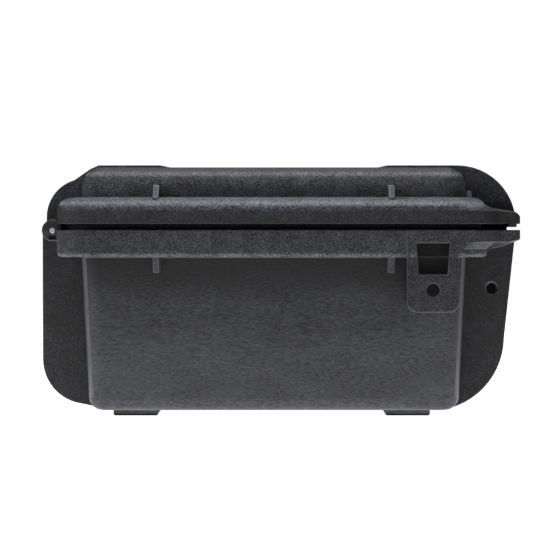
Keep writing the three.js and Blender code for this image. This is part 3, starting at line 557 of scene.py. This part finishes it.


# Materials

# Painted light and shade by height, from the feet up: pairs of millimetres and the factor on the plastic's
# colour. They paint the shade under the base rim, in the parting gap and above the lid's top highlight, the
# highlights on the rims' rounded edges and along the lid's top edge, and light on the low walls, the lid and
# the lid's fins. The boss is painted lighter all over.
WALL_PAINTED_SHADING = (
    (5.0, 1.1), (60.0, 0.75), (70.0, 0.25), (80.0, 0.05), (112.0, 1.7), (118.0, 2.0), (120.3, 1.2),
    (121.6, 1.3), (122.6, 3.6), (123.5, 3.4), (124.4, 0.7), (125.0, 0.2), (126.2, 0.2), (126.4, 0.9),
)
RIM_PAINTED_SHADING = (
    (60.0, 0.55), (81.2, 0.55), (81.8, 2.3), (82.6, 2.4), (84.0, 1.0), (94.7, 0.85), (94.9, 0.15),
    (97.8, 0.15), (98.3, 0.3), (104.0, 0.45), (106.2, 1.7), (108.0, 6.0), (108.7, 6.0), (109.8, 1.7),
    (111.4, 1.3), (112.0, 1.0),
)
FIN_PAINTED_SHADING = ((5.0, 0.7), (95.0, 0.45), (106.0, 0.5), (111.0, 3.2), (126.0, 4.2))
BOSS_PAINTED_SHADING = ((5.0, 3.5), (126.0, 3.5))
EDGE_PAINTED_SHADING = ((60.0, 1.0), (94.0, 1.0), (94.6, 0.15), (98.6, 0.15), (99.4, 1.0), (126.0, 1.6))
TONE_SPAN = 130.0
TONE_TOP = 6.0

# Light and dark specks: their strength, how far they calm down as the painted light rises, and the darkest
WALL_CONTRAST = 11.0
RIM_CONTRAST = 20.0
EDGE_CONTRAST = 3.0
CALMING = 0.4
DARKEST_SPECK = 0.03

STREAK_SHARE = 0.75  # of the walls' texture. The rest is sandy grain
RUBBED_GLOSS = 0.08  # how much less rough the rubbed edges are than the walls
DRAWN_SCALES = (60.0, 3000.0, 3000.0)  # long lines along X in drawn steel
TINT_SPAN = (0.3, 0.7)  # the noise values where a tint starts and ends
FILM_COLOUR = (0.72, 0.72, 0.68)
MATERIALS = {}


def new_material(name):
    """A node material and its shader, with Object coordinates ready."""
    material = bpy.data.materials.new(name)
    material.use_nodes = True
    tree = material.node_tree
    shader = tree.nodes["Principled BSDF"]
    coordinates = tree.nodes.new("ShaderNodeTexCoord").outputs["Object"]
    return material, tree, shader, coordinates


def tint(tree, value, base, low, high):
    """Base colour that runs from low to high times base as value goes through TINT_SPAN."""
    ramp = tree.nodes.new("ShaderNodeValToRGB")
    for point, position, factor in zip(ramp.color_ramp.elements, TINT_SPAN, (low, high)):
        point.position = position
        point.color = (*(factor * c for c in base), 1.0)
    tree.links.new(value, ramp.inputs["Fac"])
    return ramp.outputs["Color"]


def toned(tree, place, base, stops, value, contrast):
    """Base colour with specks from value, times the painted light and shade that stops give each height and
    the painted shade behind the lugs. The specks are fainter where the painted light is brighter."""
    # The ramp paints light and shade by height
    ramp = tree.nodes.new("ShaderNodeValToRGB")
    points = ramp.color_ramp.elements
    points.remove(points[1])
    points[0].position = stops[0][0] / TONE_SPAN
    for height, _ in stops[1:]:
        points.new(height / TONE_SPAN)
    for point, (_, factor) in zip(points, stops):
        point.color = (factor / TONE_TOP, factor / TONE_TOP, factor / TONE_TOP, 1.0)
    tree.links.new(math_node(tree, "DIVIDE", parts_of(tree, place)["Z"], TONE_SPAN * MM), ramp.inputs["Fac"])
    tone = math_node(tree, "MULTIPLY", ramp.outputs["Color"], TONE_TOP)
    swing = math_node(tree, "MULTIPLY", math_node(tree, "SUBTRACT", value, 0.5), contrast)
    calming = math_node(tree, "ADD", math_node(tree, "MULTIPLY", tone, CALMING), 1.0)
    speck = math_node(tree, "ADD", math_node(tree, "DIVIDE", swing, calming), 1.0)
    speckled = math_node(tree, "MULTIPLY", tone, math_node(tree, "MAXIMUM", speck, DARKEST_SPECK))
    scaled = tree.nodes.new("ShaderNodeVectorMath")
    scaled.operation = "SCALE"
    scaled.inputs[0].default_value = base
    # Painted shade on the wall behind the lugs
    lug_shade = place_group(tree, "lug shade", place)
    tree.links.new(math_node(tree, "MULTIPLY", speckled, lug_shade), scaled.inputs["Scale"])
    return scaled.outputs["Vector"]


def coat(tree, shader, place, base_colour, roughness, variation):
    """Gives a shader its colour, and a roughness that handling varies."""
    gloss = place_group(tree, "handling", place, Base=roughness, Range=variation)
    tree.links.new(base_colour, shader.inputs["Base Color"])
    tree.links.new(gloss, shader.inputs["Roughness"])


def bump(tree, shader, height, distance, strength=1.0):
    """Feeds a Bump node from height into the shader's normal."""
    node = tree.nodes.new("ShaderNodeBump")
    node.inputs["Distance"].default_value = distance
    node.inputs["Strength"].default_value = strength
    tree.links.new(height, node.inputs["Height"])
    tree.links.new(node.outputs["Normal"], shader.inputs["Normal"])


def wall_material(settings):
    """Charcoal polypropylene of the walls, with fine level grain."""
    material, tree, shader, place = new_material("Moulded wall plastic")
    streak = place_group(tree, "streak", place, Streak=settings.streak_height)
    grain = place_group(tree, "grain", place, Speck=settings.grain_size)
    value = blended(tree, streak, grain, STREAK_SHARE)
    plastic = toned(tree, place, settings.wall_colour, WALL_PAINTED_SHADING, value, WALL_CONTRAST)
    coat(tree, shader, place, plastic, settings.wall_roughness, variation=0.12)
    bump(tree, shader, value, distance=0.25 * MM)
    return material


def rim_material(settings, name, base, tones):
    """The same plastic with a sandy texture, as on the rims, fins and bumpers."""
    material, tree, shader, place = new_material(name)
    grain = place_group(tree, "grain", place, Speck=settings.grain_size)
    plastic = toned(tree, place, base, tones, grain, RIM_CONTRAST)
    coat(tree, shader, place, plastic, settings.rim_roughness, variation=0.1)
    bump(tree, shader, grain, distance=0.6 * MM)
    return material


def edge_wear_and_highlight_material(settings):
    """Rubbed, slightly glossier plastic on the edges that hands touch. It is lighter than the walls: wear,
    and a painted highlight along the edges and end corners.
    """
    material, tree, shader, place = new_material("Rubbed, painted-highlight edge plastic")
    grain = place_group(tree, "grain", place, Speck=settings.grain_size)
    plastic = toned(tree, place, settings.edge_wear_and_highlight_colour, EDGE_PAINTED_SHADING, grain, EDGE_CONTRAST)
    coat(tree, shader, place, plastic, settings.wall_roughness - RUBBED_GLOSS, variation=0.1)
    return material


def latch_material(settings):
    """Black glass-filled nylon of the levers, triggers and handle."""
    material, tree, shader, place = new_material("Latch plastic")
    grain = place_group(tree, "grain", place, Speck=0.4 * MM)
    plastic = tint(tree, grain, settings.plastic, low=0.75, high=1.3)
    coat(tree, shader, place, plastic, settings.roughness, variation=0.14)
    bump(tree, shader, grain, distance=0.05 * MM, strength=0.5)
    return material


def rubber_material(settings):
    """Matt black rubber."""
    material, tree, shader, place = new_material("Rubber")
    grain = place_group(tree, "grain", place, Speck=0.7 * MM)
    rubber = tint(tree, grain, settings.rubber, low=0.7, high=1.4)
    coat(tree, shader, place, rubber, settings.roughness, variation=0.15)
    bump(tree, shader, grain, distance=0.08 * MM, strength=0.6)
    return material


def steel_material(settings, name, base):
    """Drawn steel, with fine lines along each pin."""
    material, tree, shader, place = new_material(name)
    shader.inputs["Metallic"].default_value = 1.0
    drawn = noise_node(tree, stretched(tree, place, DRAWN_SCALES), scale=1.0, detail=2.0)
    steel = tint(tree, drawn, base, low=0.85, high=1.1)
    coat(tree, shader, place, steel, settings.roughness, variation=0.2)
    bump(tree, shader, drawn, distance=0.02 * MM, strength=0.4)
    return material


def membrane_material():
    """White porous film of the valve."""
    material, tree, shader, place = new_material("Porous film")
    grain = place_group(tree, "grain", place, Speck=0.25 * MM)
    tree.links.new(tint(tree, grain, FILM_COLOUR, low=0.85, high=1.1), shader.inputs["Base Color"])
    shader.inputs["Roughness"].default_value = 0.9
    bump(tree, shader, grain, distance=0.05 * MM, strength=0.5)
    return material


def finish_of(name, maker, *arguments):
    """A material, made the first time it is asked for."""
    if name not in MATERIALS:
        MATERIALS[name] = maker(*arguments)
    return MATERIALS[name]


def shell_materials(settings, sandy=False):
    """A shell's materials in the order of its zones: wall, rim, fin, rubbed edge and rubbed boss. The rubbed
    ones are painted lighter, as wear and as highlights.
    """
    def sandy_finish(zone, name, base, tones):
        return finish_of(zone, rim_material, settings, name, base, tones)

    if sandy:
        wall = sandy_finish("sandy wall", "Lid wall plastic", settings.wall_colour, WALL_PAINTED_SHADING)
    else:
        wall = finish_of("wall", wall_material, settings)
    return [
        wall,
        sandy_finish("rim", "Moulded rim plastic", settings.rim_colour, RIM_PAINTED_SHADING),
        # Darker fin plastic paints shade on fins, bumpers and lug windows
        sandy_finish("fin", "Moulded fin plastic", settings.fin_painted_shade_colour, FIN_PAINTED_SHADING),
        finish_of("edge", edge_wear_and_highlight_material, settings),
        # The boss is painted lighter all over: rubbed plastic and a painted highlight
        sandy_finish("boss", "Rubbed boss plastic", settings.edge_wear_and_highlight_colour, BOSS_PAINTED_SHADING),
    ]


def latch_plastic(scene):
    """The material of the levers, triggers, handle frame and valve."""
    return finish_of("latch", latch_material, scene.hard_case_latch)


def black_rubber(scene):
    """The material of the grip, the gasket and the valve's seal."""
    return finish_of("rubber", rubber_material, scene.hard_case_rubber)


def stainless_steel(settings):
    """The material of the hinge pins and the springs."""
    return finish_of("steel", steel_material, settings, "Stainless steel", settings.steel)


# Geometry Nodes

END_TURN = 0.75  # how many turns at each end of a spring lie closed
CLOSED_PITCH = 2.1  # from one closed turn to the next, in wire radii
CORNER_STEPS = 8
HAIR = 0.001 * MM


def node_with(tree, kind, **given):
    """A node's first output. Its inputs, named with underscores for spaces, are sockets or plain values."""
    node = tree.nodes.new(kind)
    for label, value in given.items():
        socket = node.inputs[label.replace("_", " ")]
        if isinstance(value, bpy.types.NodeSocket):
            tree.links.new(value, socket)
        else:
            socket.default_value = value
    return node.outputs[0]


def finished(tree, geometry, given, made):
    """Ends a tree in Realize Instances and Set Material."""
    real = node_with(tree, "GeometryNodeRealizeInstances", Geometry=geometry)
    smooth = node_with(tree, "GeometryNodeSetShadeSmooth", Geometry=real)
    coated = node_with(tree, "GeometryNodeSetMaterial", Geometry=smooth, Material=given["Material"])
    tree.links.new(coated, made.inputs["Geometry"])
    return tree


def spaced(tree, given, shape, axis):
    """Instances of shape along an axis, centred on the origin."""
    gaps = math_node(tree, "SUBTRACT", given["Count"], 1.0)
    first = math_node(tree, "MULTIPLY", math_node(tree, "MULTIPLY", gaps, given["Pitch"]), -0.5)
    start = node_with(tree, "ShaderNodeCombineXYZ", **{axis: first})
    step = node_with(tree, "ShaderNodeCombineXYZ", **{axis: given["Pitch"]})
    line = node_with(tree, "GeometryNodeMeshLine", Count=given["Count"], Start_Location=start, Offset=step)
    return node_with(tree, "GeometryNodeInstanceOnPoints", Points=line, Instance=shape)


def coil_tree():
    """A coil spring along Z: round wire, even pitch in the middle and nearly closed end turns."""
    tree, start, made = new_group("Coil Spring", [
        ("Radius", "Float", 2.6 * MM), ("Wire", "Float", 0.35 * MM), ("Turns", "Float", 4.0),
        ("Rise", "Float", 3.7 * MM), ("Steps", "Int", 32), ("Sides", "Int", 12),
        ("Material", "Material", None),
    ], [("Geometry", "Geometry")], "Geometry")
    given = start.outputs
    flat = node_with(
        tree, "GeometryNodeCurveSpiral", Resolution=given["Steps"], Rotations=given["Turns"],
        Start_Radius=given["Radius"], End_Radius=given["Radius"], Height=0.0,
    )
    along = tree.nodes.new("GeometryNodeSplineParameter").outputs["Factor"]
    wires = math_node(tree, "MULTIPLY", given["Wire"], given["Turns"])
    closed = math_node(tree, "MULTIPLY", wires, CLOSED_PITCH)
    end = math_node(tree, "DIVIDE", END_TURN, given["Turns"])
    opened = node_with(
        tree, "ShaderNodeMapRange", Value=along, From_Min=end, From_Max=math_node(tree, "SUBTRACT", 1.0, end),
        To_Max=math_node(tree, "SUBTRACT", given["Rise"], closed),
    )
    height = math_node(tree, "ADD", math_node(tree, "MULTIPLY", closed, along), opened)
    lift = node_with(tree, "ShaderNodeCombineXYZ", Z=height)
    path = node_with(tree, "GeometryNodeSetPosition", Geometry=flat, Offset=lift)
    wire = node_with(
        tree, "GeometryNodeCurvePrimitiveCircle", Resolution=given["Sides"], Radius=given["Wire"],
    )
    body = node_with(tree, "GeometryNodeCurveToMesh", Curve=path, Profile_Curve=wire, Fill_Caps=True)
    return finished(tree, body, given, made)


def ring_tree():
    """Raised rings round a grip, evenly spaced along X: each is a round bead on a rounded rectangle."""
    tree, start, made = new_group("Grip Rings", [
        ("Depth", "Float", 14 * MM), ("Height", "Float", 16 * MM), ("Corner", "Float", 6 * MM),
        ("Bead", "Float", 0.8 * MM), ("Count", "Int", 9), ("Pitch", "Float", 6 * MM),
        ("Material", "Material", None),
    ], [("Geometry", "Geometry")], "Geometry")
    given = start.outputs
    outline = node_with(
        tree, "GeometryNodeCurvePrimitiveQuadrilateral", Width=given["Height"], Height=given["Depth"],
    )
    fillet = tree.nodes.new("GeometryNodeFilletCurve")
    fillet.mode = "POLY"
    tree.links.new(outline, fillet.inputs["Curve"])
    tree.links.new(given["Corner"], fillet.inputs["Radius"])
    fillet.inputs["Count"].default_value = CORNER_STEPS
    bead = node_with(tree, "GeometryNodeCurvePrimitiveCircle", Resolution=10, Radius=given["Bead"])
    ring = node_with(tree, "GeometryNodeCurveToMesh", Curve=fillet.outputs["Curve"], Profile_Curve=bead)
    upright = node_with(tree, "GeometryNodeTransform", Geometry=ring, Rotation=(0.0, math.pi / 2, 0.0))
    return finished(tree, spaced(tree, given, upright, "X"), given, made)


def ridge_tree():
    """Finger ridges, evenly spaced along Z: each is a round bar along X with domed ends."""
    tree, start, made = new_group("Finger Ridges", [
        ("Length", "Float", 14 * MM), ("Radius", "Float", 0.7 * MM), ("Count", "Int", 4),
        ("Pitch", "Float", 2.4 * MM), ("Material", "Material", None),
    ], [("Geometry", "Geometry")], "Geometry")
    given = start.outputs
    ball = node_with(tree, "GeometryNodeMeshUVSphere", Segments=16, Rings=10, Radius=given["Radius"])
    turned = node_with(tree, "GeometryNodeTransform", Geometry=ball, Rotation=(0.0, math.pi / 2, 0.0))
    place = tree.nodes.new("GeometryNodeInputPosition").outputs["Position"]
    # The ball's middle points are moved a hair off nought, so that each belongs to one half
    side = math_node(tree, "SIGN", math_node(tree, "ADD", parts_of(tree, place)["X"], HAIR))
    half = math_node(tree, "SUBTRACT", math_node(tree, "DIVIDE", given["Length"], 2.0), given["Radius"])
    shift = node_with(tree, "ShaderNodeCombineXYZ", X=math_node(tree, "MULTIPLY", side, half))
    bar = node_with(tree, "GeometryNodeSetPosition", Geometry=turned, Offset=shift)
    return finished(tree, spaced(tree, given, bar, "Z"), given, made)


def grown(name, tree, place, body, slot, **values):
    """The plain mesh that a Geometry Nodes tree makes with these values, at place, riding on body."""
    piece = object_from(bpy.data.meshes.new(name), name)
    modifier = piece.modifiers.new("Repeat", "NODES")
    modifier.node_group = tree
    for item in tree.interface.items_tree:
        if item.in_out == "INPUT" and item.name in values:
            modifier[item.identifier] = values[item.name]
    baked(piece)
    piece.data.transform(place)
    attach(piece, body)
    return piece


# Shells

WALL, RIM, FIN, EDGE, BOSS = range(5)

# Where the zones lie. A reach is measured along Y from the middle of the walls
PARTING = 95.0 * MM
RIM_BAND = (81.2 * MM, 111.3 * MM)
RIM_REACH = 107.2 * MM
WALL_HALF = Vector((123.5 * MM, 97.4 * MM))
WALL_CENTRE_Y = 3.2 * MM
WALL_MARGIN = 0.2 * MM
FIN_X = (58.0 * MM, 98.6 * MM)
BOSS_X = 118.0 * MM
BOSS_HALF = 2.0 * MM
BOSS_DEPTH = 1.5 * MM
LUG_Y = -75.8 * MM
LUG_HALF = 8.0 * MM
LUG_FACE = 129.0 * MM
LUG_WINDOW = (72.0 * MM, 89.0 * MM)
# The rubbed end corners below the rim, where a highlight is painted as well as wear
CORNER_X = 112.0 * MM
CORNER_REACH = 86.0 * MM
CORNER_TURN = (0.78, 0.99)


def shell_zone(face):
    """The material of one face of a shell: sandy on rims, lugs and ledges; darker on fins and bumpers and in
    the lugs' windows, where the darker plastic paints shade; rubbed and lighter on bosses and end corners,
    wear and a painted highlight; and level grain on the walls."""
    middle = face.calc_center_median()
    across, reach, height = abs(middle.x), abs(middle.y - WALL_CENTRE_Y), middle.z
    in_rim = RIM_BAND[0] < height < RIM_BAND[1]
    if reach > RIM_REACH and across > FIN_X[1] and height < PARTING:
        return RIM
    beside_fins = FIN_X[0] < across < FIN_X[1] and reach > WALL_HALF.y
    if reach > RIM_REACH or beside_fins and not in_rim:
        return FIN
    on_boss = abs(across - BOSS_X) < BOSS_HALF and reach > WALL_HALF.y - BOSS_DEPTH
    if on_boss and height > RIM_BAND[1]:
        return BOSS
    # The lugs' windows get the darker fin plastic, which paints the shade inside them
    in_lug = abs(middle.y - LUG_Y) < LUG_HALF and across < LUG_FACE
    if in_lug and LUG_WINDOW[0] < height < LUG_WINDOW[1]:
        return FIN
    past_wall = across > WALL_HALF.x + WALL_MARGIN or reach > WALL_HALF.y + WALL_MARGIN
    if past_wall or in_rim:
        return RIM
    # The rounded end corners below the rim get the lighter rubbed plastic: wear and a painted highlight
    on_corner = across > CORNER_X and reach > CORNER_REACH and height < RIM_BAND[0]
    return EDGE if on_corner and CORNER_TURN[0] < abs(face.normal.y) < CORNER_TURN[1] else WALL


class HARDCASE_OT_base_shell(bpy.types.Operator):
    """Refine the base: tub, rim, fins, bumpers, lugs, ledges and feet in one moulding"""

    bl_idname = "hardcase.base_shell"
    bl_label = "Base Shell"

    def execute(self, context):
        settings = context.scene.hard_case_shell
        materials = shell_materials(settings)
        # The rounded edges get the lighter rubbed plastic: wear and a painted highlight
        piece = refined("base_shell", materials, settings.edge_round, zone=shell_zone, edge_slot=EDGE)
        return {"FINISHED"}


class HARDCASE_OT_lid_shell(bpy.types.Operator):
    """Refine the lid: shallow tub, rounded rim, fins, bumpers and ledges in one moulding"""

    bl_idname = "hardcase.lid_shell"
    bl_label = "Lid Shell"

    def execute(self, context):
        settings = context.scene.hard_case_shell
        materials = shell_materials(settings, sandy=True)
        # The rounded edges get the lighter rubbed plastic: wear and a painted highlight
        piece = refined("lid_shell", materials, settings.edge_round, zone=shell_zone, edge_slot=EDGE)
        return {"FINISHED"}


# Latches and handle

RIDGE_SINK = 0.3 * MM
RIDGE_INSET = 7.5 * MM  # from a trigger's top to the middle of its ridges
RIDGE_SHARE = 0.66  # of a trigger's width
RING_SHIFT = 0.5  # how far a ring lies inside the grip's top and underside, in bead radii
RING_CORNER = 5.5 * MM


class HARDCASE_OT_latches(bpy.types.Operator):
    """Refine each latch's lever and trigger"""

    bl_idname = "hardcase.latches"
    bl_label = "Latches"

    def execute(self, context):
        settings = context.scene.hard_case_latch
        plastic = latch_plastic(context.scene)
        for side in SIDES:
            for part in ("latch_lever", "latch_trigger"):
                piece = refined(f"{part}_{side}", [plastic], settings.edge_round)
        tree = ridge_tree()
        for side in SIDES:
            low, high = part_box(f"latch_trigger_{side}")
            place = Matrix.Translation(((low.x + high.x) / 2, low.y + RIDGE_SINK, high.z - RIDGE_INSET))
            grown(
                f"trigger_ridges_{side}", tree, place, f"trigger_{side}", "latch",
                Length=RIDGE_SHARE * (high.x - low.x), Radius=settings.ridge_radius,
                Count=settings.ridge_count, Pitch=settings.ridge_pitch, Material=plastic,
            )
        return {"FINISHED"}


class HARDCASE_OT_handle(bpy.types.Operator):
    """Refine the handle's frame and its rubber grip"""

    bl_idname = "hardcase.handle"
    bl_label = "Handle"

    def execute(self, context):
        settings = context.scene.hard_case_rubber
        rubber = black_rubber(context.scene)
        frame_round = context.scene.hard_case_latch.edge_round
        arms = refined("handle_frame", [latch_plastic(context.scene)], frame_round)
        grip = refined("handle_grip", [rubber], settings.edge_round)
        low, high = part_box("handle_grip")
        middle = (low + high) / 2
        shift = settings.ring_bead * RING_SHIFT
        place = Matrix.Translation((middle.x, middle.y - shift, middle.z))
        grown(
            "grip_rings", ring_tree(), place, "handle", "rubber",
            Depth=high.y - low.y - 2 * shift, Height=high.z - low.z - 2 * shift, Bead=settings.ring_bead,
            Count=settings.ring_count, Pitch=settings.ring_pitch, Corner=RING_CORNER, Material=rubber,
        )
        return {"FINISHED"}


# Metal


class HARDCASE_OT_pins(bpy.types.Operator):
    """Give every pin chamfered ends and drawn steel"""

    bl_idname = "hardcase.pins"
    bl_label = "Pins"

    def execute(self, context):
        settings = context.scene.hard_case_metal
        bright = stainless_steel(settings)
        black = finish_of("blackened", steel_material, settings, "Blackened steel", settings.blackened)
        metals = {"hinge_pin": bright, "latch_pin": black, "trigger_pin": black, "handle_pin": black}
        for side in SIDES:
            for part, metal in metals.items():
                piece = refined(f"{part}_{side}", [metal], settings.chamfer)
        return {"FINISHED"}


class HARDCASE_OT_springs(bpy.types.Operator):
    """Wind the trigger springs"""

    bl_idname = "hardcase.springs"
    bl_label = "Trigger Springs"

    def execute(self, context):
        settings = context.scene.hard_case_metal
        steel = stainless_steel(settings)
        tree = coil_tree()
        for side in SIDES:
            node = f"trigger_spring_{side}"
            low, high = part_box(node)
            foot = Matrix.Translation(((low.x + high.x) / 2, low.y + settings.wire, (low.z + high.z) / 2))
            place = foot @ Matrix.Rotation(-math.pi / 2, 4, "X")
            piece = grown(
                f"trigger_coil_{side}", tree, place, NODES[node]["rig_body"], "steel",
                Radius=(high.x - low.x) / 2 - settings.wire, Wire=settings.wire,
                Turns=float(settings.turns), Rise=high.y - low.y - 2 * settings.wire, Material=steel,
            )
            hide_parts(node)
            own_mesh(piece)
        return {"FINISHED"}


# Seal and valve

VALVE_ROUND = 0.2 * MM


class HARDCASE_OT_seal(bpy.types.Operator):
    """Dress the lid's gasket"""

    bl_idname = "hardcase.seal"
    bl_label = "Lid Gasket"

    def execute(self, context):
        settings = context.scene.hard_case_rubber
        piece = refined("lid_gasket", [black_rubber(context.scene)], settings.edge_round)
        return {"FINISHED"}


class HARDCASE_OT_valve(bpy.types.Operator):
    """Refine the pressure valve: body, nut, seal, membrane and cap"""

    bl_idname = "hardcase.valve"
    bl_label = "Pressure Valve"

    def execute(self, context):
        plastic = latch_plastic(context.scene)
        rubber = black_rubber(context.scene)
        film = finish_of("membrane", membrane_material)
        for node, material, slot in (
            ("valve_body", plastic, "latch"),
            ("valve_nut", plastic, "latch"),
            ("valve_cap", plastic, "latch"),
            ("valve_seal", rubber, "rubber"),
            ("valve_membrane", film, "membrane"),
        ):
            piece = refined(node, [material], VALVE_ROUND)
        return {"FINISHED"}


# Studio

# Place and width of each light
TOP_SOFTBOX = ((0.0, 0.0, 1.3), 0.7)
HINGE_SIDE_SOFTBOX = ((-0.6, 1.4, 0.7), 0.9)
LIGHT_TABLE = ((0.0, 0.0, 0.5 * MM), 0.45)
SENSOR_WIDTH = 36.0


def area_light(name, location, size, power):
    """A square softbox that faces the middle of the case."""
    data = bpy.data.lights.new(name, "AREA")
    data.shape = "SQUARE"
    data.size = size
    data.energy = power
    light = bpy.data.objects.new(name, data)
    light.location = location
    aim = Vector((0.0, 0.0, CAD_BOUNDS[1].z / 2)) - Vector(location)
    light.rotation_euler = aim.to_track_quat("-Z", "Y").to_euler()
    bpy.context.scene.collection.objects.link(light)
    return light


def seen_only(tree, brightness):
    """A brightness for camera rays alone."""
    seen = tree.nodes.new("ShaderNodeLightPath").outputs["Is Camera Ray"]
    return math_node(tree, "MULTIPLY", seen, brightness)


def floor_piece(settings):
    """A round pale floor under the feet."""
    mesh = bpy.data.meshes.new("floor")
    form = bmesh.new()
    bmesh.ops.create_circle(form, cap_ends=True, segments=96, radius=settings.floor_radius)
    form.to_mesh(mesh)
    form.free()
    floor = object_from(mesh, "floor")
    material, tree, shader, place = new_material("Pale floor")
    paper = noise_node(tree, place, scale=6.0, detail=2.0)
    pale = tint(tree, paper, settings.floor_colour, low=0.995, high=1.005)
    tree.links.new(pale, shader.inputs["Base Color"])
    shader.inputs["Roughness"].default_value = 0.9
    tree.links.new(seen_only(tree, settings.sweep), shader.inputs["Emission Strength"])
    mesh.materials.append(material)


def surround(scene, settings):
    """A world that looks white and sheds little light."""
    world = bpy.data.worlds.new("White surround")
    world.use_nodes = True
    tree = world.node_tree
    background = tree.nodes["Background"]
    background.inputs["Color"].default_value = (1.0, 1.0, 1.0, 1.0)
    brightness = math_node(tree, "ADD", seen_only(tree, settings.sky), settings.fill)
    tree.links.new(brightness, background.inputs["Strength"])
    scene.world = world


def end_camera(scene, settings):
    """The camera that looks at the left end, level with the parting line."""
    data = bpy.data.cameras.new("End view")
    data.sensor_width = SENSOR_WIDTH
    data.lens = settings.focal_length
    camera = bpy.data.objects.new("End view", data)
    camera.location = (-settings.camera_distance, settings.camera_side, settings.camera_height)
    camera.rotation_euler = (math.pi / 2 - settings.tilt, 0.0, -math.pi / 2)
    scene.collection.objects.link(camera)
    scene.camera = camera


class HARDCASE_OT_studio(bpy.types.Operator):
    """Set the pale floor, the soft lights and the camera that looks at the left end"""

    bl_idname = "hardcase.studio"
    bl_label = "Studio"

    def execute(self, context):
        settings = context.scene.hard_case_studio
        floor_piece(settings)
        surround(context.scene, settings)
        area_light("Top softbox", *TOP_SOFTBOX, settings.top_power)
        area_light("Hinge side softbox", *HINGE_SIDE_SOFTBOX, settings.side_power)
        table = area_light("Light table", *LIGHT_TABLE, settings.table_power)
        table.visible_camera = False
        end_camera(context.scene, settings)
        context.scene.view_settings.view_transform = "Standard"
        return {"FINISHED"}


# Panel and registration

SETTINGS = {
    "hard_case_shell": ShellSettings,
    "hard_case_latch": LatchSettings,
    "hard_case_rubber": RubberSettings,
    "hard_case_metal": MetalSettings,
    "hard_case_studio": StudioSettings,
}
OPERATORS = (
    HARDCASE_OT_base_shell,
    HARDCASE_OT_lid_shell,
    HARDCASE_OT_latches,
    HARDCASE_OT_handle,
    HARDCASE_OT_pins,
    HARDCASE_OT_springs,
    HARDCASE_OT_seal,
    HARDCASE_OT_valve,
    HARDCASE_OT_studio,
)


class HARDCASE_PT_pieces(bpy.types.Panel):
    """Sizes, colours and steps of the hard case"""

    bl_label = "Hard Case"
    bl_space_type = "VIEW_3D"
    bl_region_type = "UI"
    bl_category = "Hard Case"

    def draw(self, context):
        for name, kind in SETTINGS.items():
            box = self.layout.box()
            box.label(text=kind.__doc__)
            for value in kind.__annotations__:
                box.prop(getattr(context.scene, name), value)
        for operator in OPERATORS:
            self.layout.operator(operator.bl_idname)


CLASSES = (*SETTINGS.values(), *OPERATORS, HARDCASE_PT_pieces)


def register():
    """Registers the classes and hangs the settings on the scene."""
    for item in CLASSES:
        bpy.utils.register_class(item)
    for name, kind in SETTINGS.items():
        setattr(bpy.types.Scene, name, PointerProperty(type=kind))


def unregister():
    """Takes the settings and classes away again."""
    for name in SETTINGS:
        delattr(bpy.types.Scene, name)
    for item in reversed(CLASSES):
        bpy.utils.unregister_class(item)


def main():
    """Builds every piece in order."""
    register()
    for operator in OPERATORS:
        family, step = operator.bl_idname.split(".")
        getattr(getattr(bpy.ops, family), step)()


if __name__ == "__main__":
    main()
